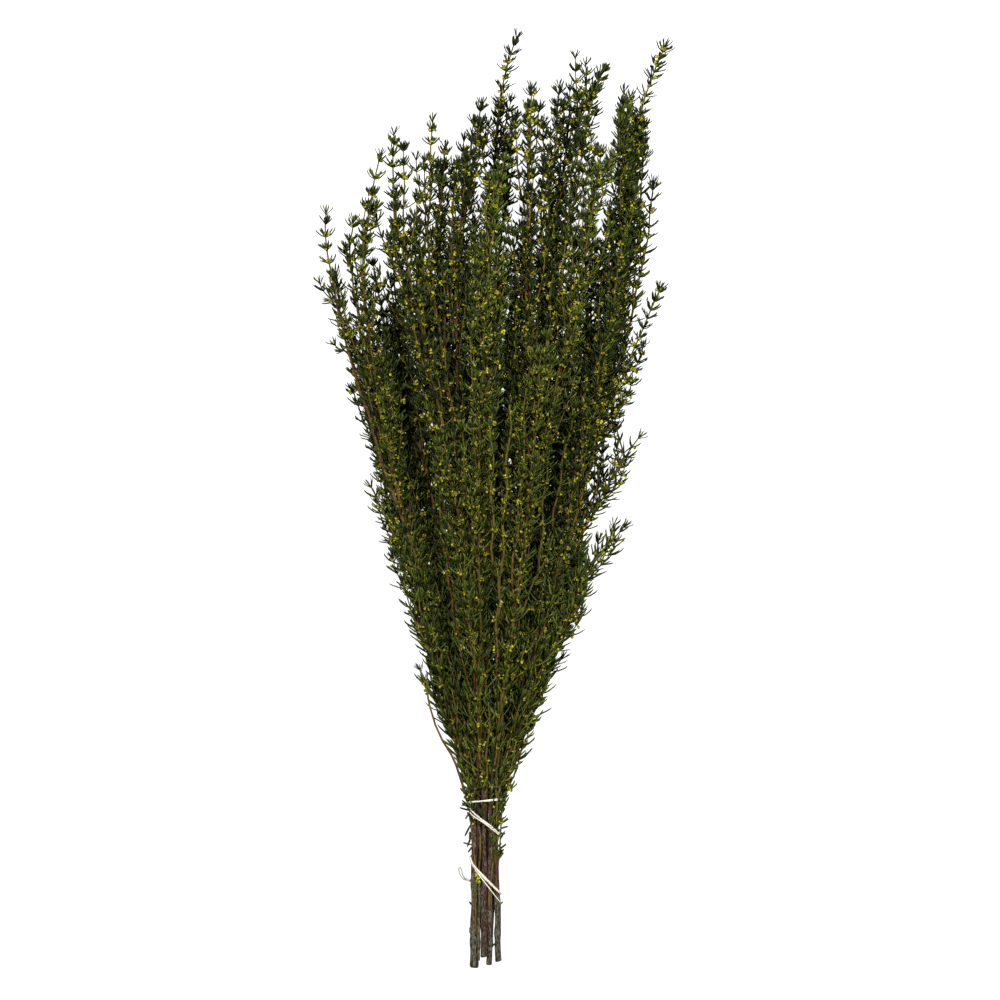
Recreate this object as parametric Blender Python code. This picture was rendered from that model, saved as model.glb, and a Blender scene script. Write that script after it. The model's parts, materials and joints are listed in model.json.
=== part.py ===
"""Preserved grubbia: a tied bunch of eight cut stems with their leafy sprays, lying on its side.

Metres, +Z up. The stems run along +Y, from their cut ends to their leaf tips, and the bunch lies on Z = 0.
"""

import math
import random

import bmesh
import bpy
import numpy as np
from mathutils import Vector

CORNER = math.sqrt(2)  # a square's half diagonal over its half width
HEXAGON_FLAT = math.sqrt(3) / 2  # a hexagon's half height over its radius

# Gaps between pieces
SEAT_GAP = 0.0003  # between a piece and what carries it
AIR_GAP = 0.0013  # between stems that only pass each other
TIGHT_Y = -0.220  # below this the tie holds the stems together, at the seat gap
LOOSE_Y = -0.120  # above this they keep the air gap

# Rings that give the stems their shape
RING_STEP = 0.032
RINGS_EACH_WAY = 11  # of Y = 0
RING_MARGIN = RING_STEP / 3  # least distance from either end of a strand to its other rings
WOOD_SIDES = 6
CORE_SIDES = 4

# How the stems are held apart
TEST_STEP = 0.008  # between the heights at which they are compared
LEAST_DISTANCE = 1e-6  # used where two centres fall together
PUSHES = 240
PUSH_SHARE = 0.8  # of a missing gap that one push makes up
TIP_FREEDOM = (0.1, 0.5)  # how much of a push moves a tip, along X and Z
SEAT_LENGTH = 0.050  # over which a spray leaves the stem that it is seated on

# Cut stems, twigs and leafy shoots
TIE_TAPER = 0.87  # a stem's thickness in the tie, as a share of that at its cut end
WOOD_TOP_RADIUS = 0.0014
ROOT_HALF = 0.0009  # half the width of a spray where it leaves its stem
CORE_HALF = 0.0012  # half the width of a leafy shoot
TIP_HALF = 0.00045
ROOT_TAPER = 0.040  # length over which a twig thickens to a shoot
TIP_TAPER = 0.020
LONG_SPRAY = 0.090  # a shorter one has a thinner core
BARE_SHARE = 0.16  # of a spray's length, from its root, that carries no leaves
GROUND_SHARE = 0.6  # of a floor spray's length, from its root, that comes down to the floor
LEAST_BARE = 0.006
TIP_LEAF_REACH = 0.006  # from the end of a shoot to the tips of its last leaves
TIP_LEAF_ROOT = 0.003  # from the end of a shoot down to the roots of its last leaves

# Leaves and flower buds
PAIR_STEP = 0.0165
LEAF_WIDTH = 0.0013
LOW_LEAF = 0.0145  # length of the leaves near the tie
HIGH_LEAF = 0.0115  # length of the leaves near the tips
TIP_LEAF = 0.0100  # length of the very last ones
LEAF_LENGTH_HEIGHTS = (-0.2, 0.1)  # between these the leaves' length changes
LEAF_REACH = 0.45 * LEAF_WIDTH  # room that a leaf takes round its middle line
LEAF_LEANS = (0.68, 0.50, 0.34)  # angles from the shoot, tried in turn
LEAF_LENGTHS = (1, 0.85, 0.7)  # shares of the full length, tried in turn
LEAF_SWING = 0.5  # most that a leaf turns round its shoot
ROOT_DEPTH = 0.0008  # how far a leaf's root is sunk
ROOT_SHARE = 0.25  # of a leaf that lies in or against its own shoot
SLOPE_STEP = 0.002  # over which a shoot's direction is read
LEAF_SIDES = 3
PARALLEL = 1e-18  # least cross term in the distance between two segments
BUD_WIDTH = 0.0024
BUD_SINK = 0.0004
BUD_SIDES = 4
BUD_RISE = PAIR_STEP / 4  # above the step that it belongs to
BUD_STEP = 0.070
BUD_SHARE = 0.75  # of a spray, from its tip, that carries buds
BUD_END = 0.012  # left without buds at the tip

# The tie
BAND_WIDTH = 0.0018
BAND_THICKNESS = 0.0009
# Its heights at the left and right sides in turn
BAND_HEIGHTS = (-0.2273, -0.2250, -0.2302, -0.2520, -0.2685, -0.2975, -0.2860)
BAND_POINTS = 10  # for each half turn
BAND_TAIL = (-0.0048, 0.0045, 0.0042)  # from the bundle's left side to the end of the free loop
BAND_TAIL_SHARES = (0.35, 0.70, 1.00)
BAND_REACH = 0.6 * BAND_WIDTH  # room that it takes round its middle line
NO_STRAND = -1

# How far the stems' centres spread at each height: Y, left X, right X, lowest Z, highest Z
SPREAD = (
    (-0.352, -0.0130, 0.0080, 0.0018, 0.0098),
    (-0.265, -0.0118, 0.0048, 0.0041, 0.0094),
    (-0.226, -0.0125, 0.0058, 0.0030, 0.0110),
    (-0.181, -0.0200, 0.0140, 0.0012, 0.0210),
    (-0.113, -0.0350, 0.0340, 0.0012, 0.0430),
    (-0.038, -0.0570, 0.0580, 0.0012, 0.0650),
    (0.037, -0.0820, 0.0770, 0.0012, 0.0830),
    (0.112, -0.1050, 0.0970, 0.0012, 0.0980),
    (0.187, -0.1200, 0.1100, 0.0012, 0.1070),
    (0.262, -0.1120, 0.1140, 0.0012, 0.1060),
    (0.352, -0.1000, 0.1150, 0.0012, 0.1000),
)
TIE_Y = -0.265
FLOOR_DEPTH = -1
MIDDLE_X = 0.0035  # middle of the bunch in the X of these lists, which becomes X = 0

# Each stem: cut end (X, Y, Z), place in the tie (X, Z), radius at the cut, height where its wood ends.
# Its sprays, the first of which carries on from the wood: root Y, tip X, tip Y, depth, and lean.
# Depth runs from -1 on the floor to 1 on top.
# Lean is under 1 where a spray bows outwards and over 1 where it bows inwards.
STEMS = {
    "left": (
        (-0.0120, -0.3515, 0.0062),
        (-0.01175, 0.0066),
        0.0030,
        0.080,
        (
            (0.080, -0.1210, 0.219, 0.15, 1.25),
            (-0.025, -0.1010, 0.213, 0.00, 0.70),
            (-0.070, -0.1050, 0.088, -0.25, 1.20),
            (-0.150, -0.0915, 0.016, 0.15, 0.90),
            (-0.005, -0.0810, 0.261, 0.35, 0.70),
            (-0.208, -0.0525, -0.131, -0.10, 0.80),
            (-0.182, -0.0610, -0.080, 0.45, 0.80),
        ),
    ),
    "thin": (
        (-0.0081, -0.3460, 0.0100),
        (-0.00790, 0.0086),
        0.0011,
        -0.090,
        (
            (-0.090, -0.0885, 0.183, -0.70, 0.90),
            (-0.120, -0.1090, 0.136, -0.80, 0.80),
            (-0.105, -0.0735, 0.198, -0.30, 0.70),
            (-0.200, -0.0580, -0.092, -0.60, 0.80),
        ),
    ),
    "centre": (
        (-0.0045, -0.3435, 0.0084),
        (-0.00440, 0.0093),
        0.0024,
        0.040,
        (
            (0.040, -0.0420, 0.287, 0.45, 0.90),
            (-0.045, -0.0710, 0.278, 0.05, 0.70),
            (-0.015, -0.0630, 0.266, 0.70, 0.70),
            (0.000, -0.0330, 0.268, 0.05, 0.70),
            (0.020, -0.0135, 0.271, 0.60, 0.70),
            (-0.080, 0.0110, 0.256, 0.95, 0.70),
            (-0.200, -0.0180, -0.046, 0.95, 0.70),
            (-0.130, -0.0380, 0.062, 0.95, 0.70),
        ),
    ),
    "middle": (
        (-0.0005, -0.3495, 0.0054),
        (0.00015, 0.0090),
        0.0021,
        0.060,
        (
            (0.060, 0.0310, 0.311, 0.30, 0.90),
            (0.015, 0.0520, 0.313, 0.10, 0.70),
            (-0.010, 0.0855, 0.326, -0.15, 1.00),
            (0.030, 0.0720, 0.287, 0.45, 0.70),
            (-0.045, 0.0830, 0.263, 0.80, 0.70),
            (-0.125, 0.0430, 0.127, 0.98, 0.70),
            (-0.198, 0.0190, -0.083, 0.90, 0.70),
        ),
    ),
    "right": (
        (0.0064, -0.3470, 0.0045),
        (0.00460, 0.0074),
        0.0023,
        0.060,
        (
            (0.060, 0.1305, 0.343, 0.20, 1.20),
            (0.030, 0.1110, 0.287, -0.15, 0.80),
            (0.005, 0.0990, 0.308, 0.50, 0.70),
            (-0.025, 0.1215, 0.241, -0.05, 0.80),
            (-0.055, 0.1275, 0.162, 0.35, 1.90),
            (-0.120, 0.1140, 0.0525, 0.20, 1.70),
            (-0.158, 0.1030, -0.014, -0.05, 1.70),
            (-0.188, 0.0760, -0.062, 0.35, 0.90),
        ),
    ),
    "back_left": (
        (-0.0086, -0.3380, 0.0018),
        (-0.00750, 0.0042),
        0.0021,
        0.020,
        (
            (0.020, -0.0060, 0.300, -0.05, 0.80),
            (-0.035, -0.0375, 0.205, -0.50, 0.70),
            (-0.065, -0.0210, 0.215, -1.00, 0.70),
            (-0.105, -0.0560, 0.194, -1.00, 0.70),
        ),
    ),
    "back_centre": (
        (-0.0036, -0.3400, 0.0016),
        (-0.00330, 0.0041),
        0.0019,
        0.060,
        (
            (0.060, 0.0210, 0.351, -0.35, 0.90),
            (0.005, 0.0180, 0.290, -0.75, 0.70),
            (-0.035, 0.0340, 0.232, -1.00, 0.70),
            (-0.165, -0.0150, 0.005, -1.00, 0.70),
        ),
    ),
    "back_right": (
        (0.0024, -0.3360, 0.0017),
        (0.00100, 0.0042),
        0.0020,
        0.010,
        (
            (0.010, 0.0525, 0.247, -0.55, 0.80),
            (-0.030, 0.0915, 0.228, -0.50, 0.80),
            (-0.060, 0.0750, 0.224, -1.00, 0.70),
            (-0.090, 0.1125, 0.168, -0.75, 0.90),
            (-0.130, 0.0930, 0.028, -0.45, 1.10),
            (-0.195, 0.0570, -0.113, -0.30, 0.90),
        ),
    ),
}

BEND_CURVE = 1.5  # a bent tip curves more and more towards its end

# Sprays whose tips bend over: how long the bent end is, and how far it goes sideways
TIP_BENDS = {
    "right_1": (0.090, 0.027),
    "middle_3": (0.060, 0.022),
    "back_centre_1": (0.045, 0.010),
    "left_1": (0.020, -0.002),
}


class Strand:
    """A stem or a spray: its rings' heights, their centres as X and Z, half widths, and reach."""

    def __init__(self, name, parent, heights, centres, halves, reach):
        self.name = name
        self.parent = parent
        self.heights = heights
        self.centres = centres
        self.halves = halves
        self.reach = reach
        self.free = np.ones((len(heights), 2))

    def centre(self, y):
        return np.stack([np.interp(y, self.heights, self.centres[:, side]) for side in (0, 1)], axis=-1)

    def reach_at(self, y):
        return np.interp(y, self.heights, self.reach)

    def half_at(self, y):
        return np.interp(y, self.heights, self.halves)

    def point(self, y):
        x, z = self.centre(y)
        return Vector((x, y, z))


def spread_at(y):
    columns = np.array(SPREAD).T
    return [np.interp(y, columns[0], column) for column in columns[1:]]


def share_of(x, z, y):
    """Where X and Z lie between the spread's sides, from -1 to 1 each way."""
    left, right, low, high = spread_at(y)
    return 2 * (x - left) / (right - left) - 1, 2 * (z - low) / (high - low) - 1


def place_of(across, depth, y):
    left, right, low, high = spread_at(y)
    x = left + (across + 1) / 2 * (right - left)
    z = low + (depth + 1) / 2 * (high - low)
    return np.stack([x, z], axis=-1)


def ring_heights(start, end):
    """The start, the end, and the shared ring heights between them that aren't close to either."""
    steps = np.arange(-RINGS_EACH_WAY, RINGS_EACH_WAY + 1) * RING_STEP
    inner = steps[(steps > start + RING_MARGIN) & (steps < end - RING_MARGIN)]
    return np.concatenate([[start], inner, [end]])


def eased(share):
    share = np.clip(share, 0, 1)
    return share * share * (3 - 2 * share)


def bent_aside(name, heights, end):
    """How far each height is moved sideways where the spray's tip bends over."""
    length, aside = TIP_BENDS.get(name, (1, 0))
    return aside * np.clip((heights - end) / length + 1, 0, 1) ** BEND_CURVE


def straight_aside(name):
    """How far the very tip is moved sideways."""
    return TIP_BENDS.get(name, (1, 0))[1]


def leader(name, cut, tie, radius, wood_top, first_spray):
    """A whole stem, from its cut end through the tie to the tip of the spray on top of its wood."""
    _, tip_x, tip_y, tip_depth, lean = first_spray
    end = tip_y - TIP_LEAF_REACH
    heights = np.unique(np.concatenate([ring_heights(cut[1], end), [TIE_Y, wood_top]]))
    tip_across, _ = share_of(tip_x - straight_aside(name), 0, tip_y)
    tie_across, tie_depth = share_of(tie[0], tie[1], TIE_Y)
    above = np.clip((heights - TIE_Y) / (end - TIE_Y), 0, 1) ** lean
    across = tie_across + (tip_across - tie_across) * above
    centres = place_of(across, tie_depth + (tip_depth - tie_depth) * above, heights)
    centres[:, 0] += bent_aside(name, heights, end)
    below = np.clip((heights - cut[1]) / (TIE_Y - cut[1]), 0, 1)[:, None]
    straight = np.array([cut[0], cut[2]]) * (1 - below) + np.array(tie) * below
    in_tie = heights <= TIE_Y
    centres = np.where(in_tie[:, None], straight, centres)
    shoot = (wood_top + SEAT_GAP, wood_top + ROOT_TAPER, end - TIP_TAPER, end)
    shoot_halves = (ROOT_HALF, CORE_HALF, CORE_HALF, TIP_HALF)
    halves = np.interp(heights, shoot, shoot_halves)
    wood = (radius, TIE_TAPER * radius, min(WOOD_TOP_RADIUS, radius))
    stations = (cut[1], TIE_Y, wood_top, *shoot)
    reach = np.interp(heights, stations, [*wood, *(half * CORNER for half in shoot_halves)])
    strand = Strand(name, None, heights, centres, halves, reach)
    strand.free[in_tie] = 0
    strand.free[-1] = TIP_FREEDOM
    return strand


def side_spray(name, parent, root, tip_x, tip_y, tip_depth, lean):
    """A spray from the side of a stem. A floor spray comes down to the floor and then lies along it."""
    end = tip_y - TIP_LEAF_REACH
    heights = ring_heights(root, end)
    start_across, start_depth = share_of(*parent.centre(root), root)
    tip_across, _ = share_of(tip_x - straight_aside(name), 0, tip_y)
    along = (heights - root) / (end - root)
    descent = eased(along / GROUND_SHARE) if tip_depth == FLOOR_DEPTH else along**lean
    across = start_across + (tip_across - start_across) * along**lean
    centres = place_of(across, start_depth + (tip_depth - start_depth) * descent, heights)
    centres[:, 0] += bent_aside(name, heights, end)
    full = CORE_HALF if end - root > LONG_SPRAY else (ROOT_HALF + CORE_HALF) / 2
    stations = (root, root + ROOT_TAPER, end - TIP_TAPER, end)
    halves = np.interp(heights, stations, [ROOT_HALF, full, full, TIP_HALF])
    strand = Strand(name, parent, heights, centres, halves, halves * CORNER)
    strand.free[-1] = TIP_FREEDOM
    if tip_depth == FLOOR_DEPTH:
        grounded = along >= GROUND_SHARE
        strand.free[grounded, 1] = 0
        strand.centres[grounded, 1] = CORE_HALF
    return strand


def seat_roots(strands):
    """Puts each spray's root beside its stem, on the side that the spray leaves to."""
    for strand in strands:
        if strand.parent is None:
            continue
        root = strand.heights[0]
        away = strand.centres[1] - strand.parent.centre(strand.heights[1])
        away /= np.linalg.norm(away)
        distance = strand.parent.reach_at(root) + strand.reach[0] + SEAT_GAP
        strand.centres[0] = strand.parent.centre(root) + away * distance


def wanted_gaps(strands, heights):
    """The least distance between each two strands' centres at each height."""
    reach = np.array([strand.reach_at(heights) for strand in strands])
    loose = np.interp(heights, [TIGHT_Y, LOOSE_Y], [SEAT_GAP, AIR_GAP])
    wanted = reach[:, None] + reach[None] + loose
    for number, strand in enumerate(strands):
        if strand.parent is None:
            continue
        other = strands.index(strand.parent)
        past_root = np.clip((heights - strand.heights[0]) / SEAT_LENGTH, 0, 1)
        near_root = (loose - SEAT_GAP) * (1 - past_root)
        wanted[number, other] -= near_root
        wanted[other, number] -= near_root
    return wanted


def hold_apart(strands):
    """Bends the strands clear of each other, with their cut ends, ties and tips kept nearly in place."""
    lowest = min(strand.heights[0] for strand in strands)
    highest = max(strand.heights[-1] for strand in strands)
    heights = np.arange(lowest, highest, TEST_STEP)
    wanted = wanted_gaps(strands, heights)
    there = np.array([(heights >= s.heights[0]) & (heights <= s.heights[-1]) for s in strands])
    pairs = there[:, None] & there[None] & ~np.eye(len(strands), dtype=bool)[:, :, None]
    shares = [ring_shares(strand.heights, heights) * active for strand, active in zip(strands, there)]
    for _ in range(PUSHES):
        seat_roots(strands)
        places = np.array([strand.centre(heights) for strand in strands])
        between = places[:, None] - places[None]
        distance = np.maximum(np.linalg.norm(between, axis=-1), LEAST_DISTANCE)
        missing = np.where(pairs, np.maximum(wanted - distance, 0), 0)
        moves = (between / distance[..., None] * missing[..., None]).sum(axis=1) * PUSH_SHARE
        for strand, share, move in zip(strands, shares, moves):
            push_strand(strand, share, move)
    seat_roots(strands)


def push_strand(strand, share, move):
    """Moves a strand's rings by the pushes near them, and keeps the strand above the floor."""
    step = share @ move / np.maximum(share.sum(axis=1, keepdims=True), 1)
    strand.centres += step * strand.free
    half_height = strand.halves if strand.parent else np.maximum(strand.halves, strand.reach * HEXAGON_FLAT)
    strand.centres[:, 1] = np.maximum(strand.centres[:, 1], half_height)


def ring_shares(rings, heights):
    """How much each ring counts at each height, as in a straight run between two rings."""
    return np.array([np.interp(heights, rings, row, left=0, right=0) for row in np.eye(len(rings))])


def make_strands():
    strands = []
    for stem, (cut, tie, radius, wood_top, sprays) in STEMS.items():
        main = leader(f"{stem}_1", cut, tie, radius, wood_top, sprays[0])
        strands.append(main)
        for number, spray in enumerate(sprays[1:], 2):
            strands.append(side_spray(f"{stem}_{number}", main, *spray))
    hold_apart(strands)
    for strand in strands:
        strand.centres[:, 0] -= MIDDLE_X
    return strands


def loft(name, rings):
    """A closed solid through the rings, each a list of the same number of points."""
    mesh = bpy.data.meshes.new(name)
    made = bmesh.new()
    rows = [[made.verts.new(point) for point in ring] for ring in rings]
    for low, high in zip(rows, rows[1:]):
        for side in range(len(low)):
            after = (side + 1) % len(low)
            made.faces.new((low[side], low[after], high[after], high[side]))
    made.faces.new(rows[0][::-1])
    made.faces.new(rows[-1])
    bmesh.ops.recalc_face_normals(made, faces=made.faces)
    made.to_mesh(mesh)
    made.free()
    piece = bpy.data.objects.new(name, mesh)
    bpy.context.scene.collection.objects.link(piece)
    return piece


def polygon(centre, y, radius, sides):
    """Points round a centre in the plane of Y, with a flat side down."""
    turns = [2 * math.pi * (side + 0.5) / sides - math.pi / 2 for side in range(sides)]
    return [(centre[0] + radius * math.cos(t), y, centre[1] + radius * math.sin(t)) for t in turns]


def wood_solid(name, strand, wood_top):
    heights = strand.heights[strand.heights <= wood_top]
    rings = [polygon(strand.centre(y), y, strand.reach_at(y), WOOD_SIDES) for y in heights]
    return loft(name, rings)


def core_solid(name, strand, start):
    heights = np.concatenate([[start], strand.heights[strand.heights > start + SEAT_GAP]])
    rings = [polygon(strand.centre(y), y, strand.half_at(y) * CORNER, CORE_SIDES) for y in heights]
    return loft(name, rings)


def spike(name, root, tip, width, sides):
    """A leaf or a bud: a pyramid from its sunk root to its tip."""
    along = (tip - root).normalized()
    across = along.orthogonal().normalized()
    over = along.cross(across)
    made = bmesh.new()
    turns = [2 * math.pi * side / sides for side in range(sides)]
    base = [made.verts.new(root + (across * math.cos(t) + over * math.sin(t)) * width / 2) for t in turns]
    peak = made.verts.new(tip)
    for side in range(sides):
        made.faces.new((base[side], base[(side + 1) % sides], peak))
    made.faces.new(base[::-1])
    bmesh.ops.recalc_face_normals(made, faces=made.faces)
    mesh = bpy.data.meshes.new(name)
    made.to_mesh(mesh)
    made.free()
    return bpy.data.objects.new(name, mesh)


def segment_distances(start, end, starts, ends):
    """The least distance from one straight segment to each of many."""
    one = end - start
    many = ends - starts
    offset = start - starts
    a = one @ one
    e = (many * many).sum(axis=1)
    f = (many * offset).sum(axis=1)
    b = many @ one
    c = offset @ one
    across = np.maximum(a * e - b * b, PARALLEL)
    s = np.clip((b * f - c * e) / across, 0, 1)
    t = np.clip((b * s + f) / e, 0, 1)
    s = np.clip((b * t - c) / a, 0, 1)
    nearest = offset + s[:, None] * one - t[:, None] * many
    return np.linalg.norm(nearest, axis=1)


class Room:
    """The straight segments already taken, each with its thickness and the strand it belongs to."""

    def __init__(self, strands, band):
        self.starts, self.ends, self.reach, self.owners = [], [], [], []
        for number, strand in enumerate(strands):
            points = [np.array([x, y, z]) for (x, z), y in zip(strand.centres, strand.heights)]
            for low, high, *thick in zip(points, points[1:], strand.reach, strand.reach[1:]):
                self.take(low, high, max(thick), number)
        for low, high in zip(band, band[1:]):
            self.take(np.array(low), np.array(high), BAND_REACH, NO_STRAND)

    def take(self, start, end, reach, owner):
        self.starts.append(start)
        self.ends.append(end)
        self.reach.append(reach)
        self.owners.append(owner)

    def settle(self):
        self.fixed = [np.array(values) for values in (self.starts, self.ends, self.reach, self.owners)]

    def is_clear(self, start, end, reach, owner):
        starts, ends, taken, owners = self.fixed
        others = owners != owner
        gaps = segment_distances(start, end, starts[others], ends[others]) - taken[others]
        return gaps.min() > reach + SEAT_GAP


def leaf_line(strand, y, side, lean, swing, length):
    """Where a leaf starts and ends: it grows from the middle of one side of the shoot, up and outwards."""
    outward = Vector(((1, 0, 0), (0, 0, 1), (-1, 0, 0), (0, 0, -1))[side])
    upward = (strand.point(y + SLOPE_STEP) - strand.point(y)).normalized()
    aside = outward * math.cos(swing) + upward.cross(outward) * math.sin(swing)
    heading = upward * math.cos(lean) + aside * math.sin(lean)
    start = strand.point(y) + outward * max(strand.half_at(y) - ROOT_DEPTH, 0)
    return start, start + heading * length


def fit_leaf(room, strand, number, y, side, length, chance):
    """The first lean and length at which a leaf is clear of the floor and of every other piece, or None."""
    swing = chance.uniform(-LEAF_SWING, LEAF_SWING)
    for shorter in LEAF_LENGTHS:
        for lean in LEAF_LEANS:
            start, end = leaf_line(strand, y, side, lean, swing, length * shorter)
            beyond = start + (end - start) * ROOT_SHARE
            if end.z > SEAT_GAP and room.is_clear(np.array(beyond), np.array(end), LEAF_REACH, number):
                room.take(np.array(start), np.array(end), LEAF_REACH, number)
                return start, end
    return None


def leaves_of(strand, number, start, room, chance):
    """The leaves in opposite pairs, each pair square to the last, up to the last ones at the tip."""
    length = strand.heights[-1] - start
    first = start + max(BARE_SHARE * length, LEAST_BARE)
    last = strand.heights[-1] - TIP_LEAF_ROOT
    count = max(2, round((last - first) / PAIR_STEP))
    found = []
    for pair, y in enumerate(np.linspace(first, last, count + 1)):
        leaf = np.interp(y, LEAF_LENGTH_HEIGHTS, [LOW_LEAF, HIGH_LEAF])
        if pair == count:
            leaf = TIP_LEAF
        for side in (pair % 2, pair % 2 + 2):
            line = fit_leaf(room, strand, number, y, side, leaf, chance)
            if line:
                found.append(line)
    return found


def buds_of(strand, start, chance):
    """Low four-sided bumps at the sides of the shoot, where flower buds cluster."""
    first = strand.heights[-1] - BUD_SHARE * (strand.heights[-1] - start)
    found = []
    for y in np.arange(first, strand.heights[-1] - BUD_END, BUD_STEP):
        outward = Vector(chance.choice(((1, 0, 0), (0, 0, 1), (-1, 0, 0))))
        place = y + BUD_RISE
        surface = strand.point(place) + outward * strand.half_at(place)
        found.append((surface - outward * BUD_SINK, surface + outward * BUD_WIDTH / 2))
    return found


def grow(core, spikes):
    """Joins the leaves and buds to their shoot with one union."""
    helpers = bpy.data.collections.new("growth")
    bpy.context.scene.collection.children.link(helpers)
    for spike_object in spikes:
        helpers.objects.link(spike_object)
    union = core.modifiers.new("growth", "BOOLEAN")
    union.operation = "UNION"
    union.solver = "MANIFOLD"
    union.operand_type = "COLLECTION"
    union.collection = helpers
    graph = bpy.context.evaluated_depsgraph_get()
    joined = bpy.data.meshes.new_from_object(core.evaluated_get(graph))
    core.modifiers.clear()
    core.data = joined
    for spike_object in list(helpers.objects):
        bpy.data.objects.remove(spike_object)
    bpy.data.collections.remove(helpers)


def hull_point(strands, y, turn, offset):
    """The point at which a taut band round the stems touches in one direction, moved out by the offset."""
    stems = [strand for strand in strands if strand.parent is None]
    outward = np.array([math.cos(turn), math.sin(turn)])
    centres = np.array([stem.centre(y) for stem in stems])
    reach = np.array([stem.reach_at(y) for stem in stems])
    furthest = (centres @ outward + reach).argmax()
    x, z = centres[furthest] + outward * (reach[furthest] + offset)
    return Vector((x, y, z)), Vector((outward[0], 0, outward[1]))


def band_route(strands):
    """The band's middle line with its outward directions: three turns, then the free loop."""
    offset = SEAT_GAP + BAND_THICKNESS / 2
    route = []
    for half_turn, (start, end) in enumerate(zip(BAND_HEIGHTS, BAND_HEIGHTS[1:])):
        turns = math.pi * (1 - half_turn - np.linspace(0, 1, BAND_POINTS + 1))
        level = [hull_point(strands, (start + end) / 2, turn, offset)[0] for turn in turns]
        lengths = np.cumsum([0] + [(after - before).length for before, after in zip(level, level[1:])])
        places = start + (end - start) * lengths / lengths[-1]
        route += [hull_point(strands, y, turn, offset) for y, turn in zip(places[:-1], turns)]
    last, outward = hull_point(strands, BAND_HEIGHTS[-1], math.pi, offset)
    route.append((last, outward))
    route += [(last + Vector(BAND_TAIL) * share, outward) for share in BAND_TAIL_SHARES]
    return route


def band_solid(name, route):
    rings = []
    along_stems = Vector((0, 1, 0))
    for place, outward in route:
        rise = along_stems * BAND_WIDTH / 2
        out = outward * BAND_THICKNESS / 2
        rings.append([place - rise - out, place - rise + out, place + rise + out, place + rise - out])
    return loft(name, rings)


def material(name, colour, roughness):
    made = bpy.data.materials.new(name)
    made.use_nodes = True
    shader = made.node_tree.nodes["Principled BSDF"]
    shader.inputs["Base Color"].default_value = (*colour, 1)
    shader.inputs["Roughness"].default_value = roughness
    shader.inputs["Metallic"].default_value = 0
    return made


def main():
    for thing in list(bpy.data.objects):
        bpy.data.objects.remove(thing)
    bark = material("bark", (0.115, 0.075, 0.048), 0.8)
    foliage = material("foliage", (0.035, 0.062, 0.012), 0.6)
    elastic = material("elastic", (0.75, 0.68, 0.52), 0.6)

    strands = make_strands()
    route = band_route(strands)
    band_solid("tie_band", route).data.materials.append(elastic)
    room = Room(strands, [place for place, _ in route])
    for stem, (*_, wood_top, _) in STEMS.items():
        main_strand = next(strand for strand in strands if strand.name == f"{stem}_1")
        wood_solid(f"stem_{stem}", main_strand, wood_top).data.materials.append(bark)
    for number, strand in enumerate(strands):
        stem = strand.name.rsplit("_", 1)[0]
        start = strand.heights[0] if strand.parent else STEMS[stem][3] + SEAT_GAP
        chance = random.Random(strand.name)
        core = core_solid(f"spray_{strand.name}", strand, start)
        room.settle()
        leaves = leaves_of(strand, number, start, room, chance)
        spikes = [spike("leaf", *line, LEAF_WIDTH, LEAF_SIDES) for line in leaves]
        spikes += [spike("bud", *line, BUD_WIDTH, BUD_SIDES) for line in buds_of(strand, start, chance)]
        grow(core, spikes)
        core.data.materials.append(foliage)


main()
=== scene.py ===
"""Looks of the preserved grubbia bunch: bark, twigs, needle leaves, flower buds and the tie.

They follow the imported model. Metres, in its frame: the stems run along +Y and the bunch lies on Z = 0.
"""

import json
import math
import random
from collections import namedtuple

import bpy
import numpy as np
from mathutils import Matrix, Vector

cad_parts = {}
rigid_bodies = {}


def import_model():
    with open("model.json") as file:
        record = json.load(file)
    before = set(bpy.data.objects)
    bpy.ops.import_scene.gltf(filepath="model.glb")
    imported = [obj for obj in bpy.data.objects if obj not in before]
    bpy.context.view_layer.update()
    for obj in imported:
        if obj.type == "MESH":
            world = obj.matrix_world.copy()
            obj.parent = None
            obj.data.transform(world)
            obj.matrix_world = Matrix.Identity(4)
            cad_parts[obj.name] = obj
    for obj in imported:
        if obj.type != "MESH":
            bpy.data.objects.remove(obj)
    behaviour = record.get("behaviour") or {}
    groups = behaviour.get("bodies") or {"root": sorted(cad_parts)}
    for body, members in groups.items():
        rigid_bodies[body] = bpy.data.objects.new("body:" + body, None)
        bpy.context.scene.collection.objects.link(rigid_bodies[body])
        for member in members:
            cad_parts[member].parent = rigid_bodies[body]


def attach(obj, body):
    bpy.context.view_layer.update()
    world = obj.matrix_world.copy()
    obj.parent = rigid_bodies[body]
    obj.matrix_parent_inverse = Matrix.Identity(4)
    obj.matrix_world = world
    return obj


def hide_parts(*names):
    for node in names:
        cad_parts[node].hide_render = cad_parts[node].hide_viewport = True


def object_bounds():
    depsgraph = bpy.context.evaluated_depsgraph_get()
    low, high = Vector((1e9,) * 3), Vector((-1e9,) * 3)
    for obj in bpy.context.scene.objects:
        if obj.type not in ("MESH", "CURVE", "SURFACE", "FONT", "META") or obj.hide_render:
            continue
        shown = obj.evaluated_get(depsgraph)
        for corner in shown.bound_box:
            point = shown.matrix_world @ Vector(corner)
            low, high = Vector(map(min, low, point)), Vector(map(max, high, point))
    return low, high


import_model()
cad_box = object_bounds()

TAU = 2 * math.pi

# The photograph's frame
PIXEL = 0.00075
FRAME_PIXELS = 1000
CENTRE_X = 0.0040
CENTRE_Y = -0.00075
MID_HEIGHT = 0.005
CAMERA_DISTANCE = 6.0
SENSOR_MM = 36

# Light
SKY_STRENGTH = 0.26
KEYS = {"key_left": ((-1.10, 0.95, 1.80), 40), "key_right": ((1.10, 0.75, 1.80), 40)}
KEY_SIZE = 0.7
FLOOR_GLOW = 1.0
FLOOR_HALF = 6.0
FLOOR_Z = -0.0003
GROUND_Z = -0.0010

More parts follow.
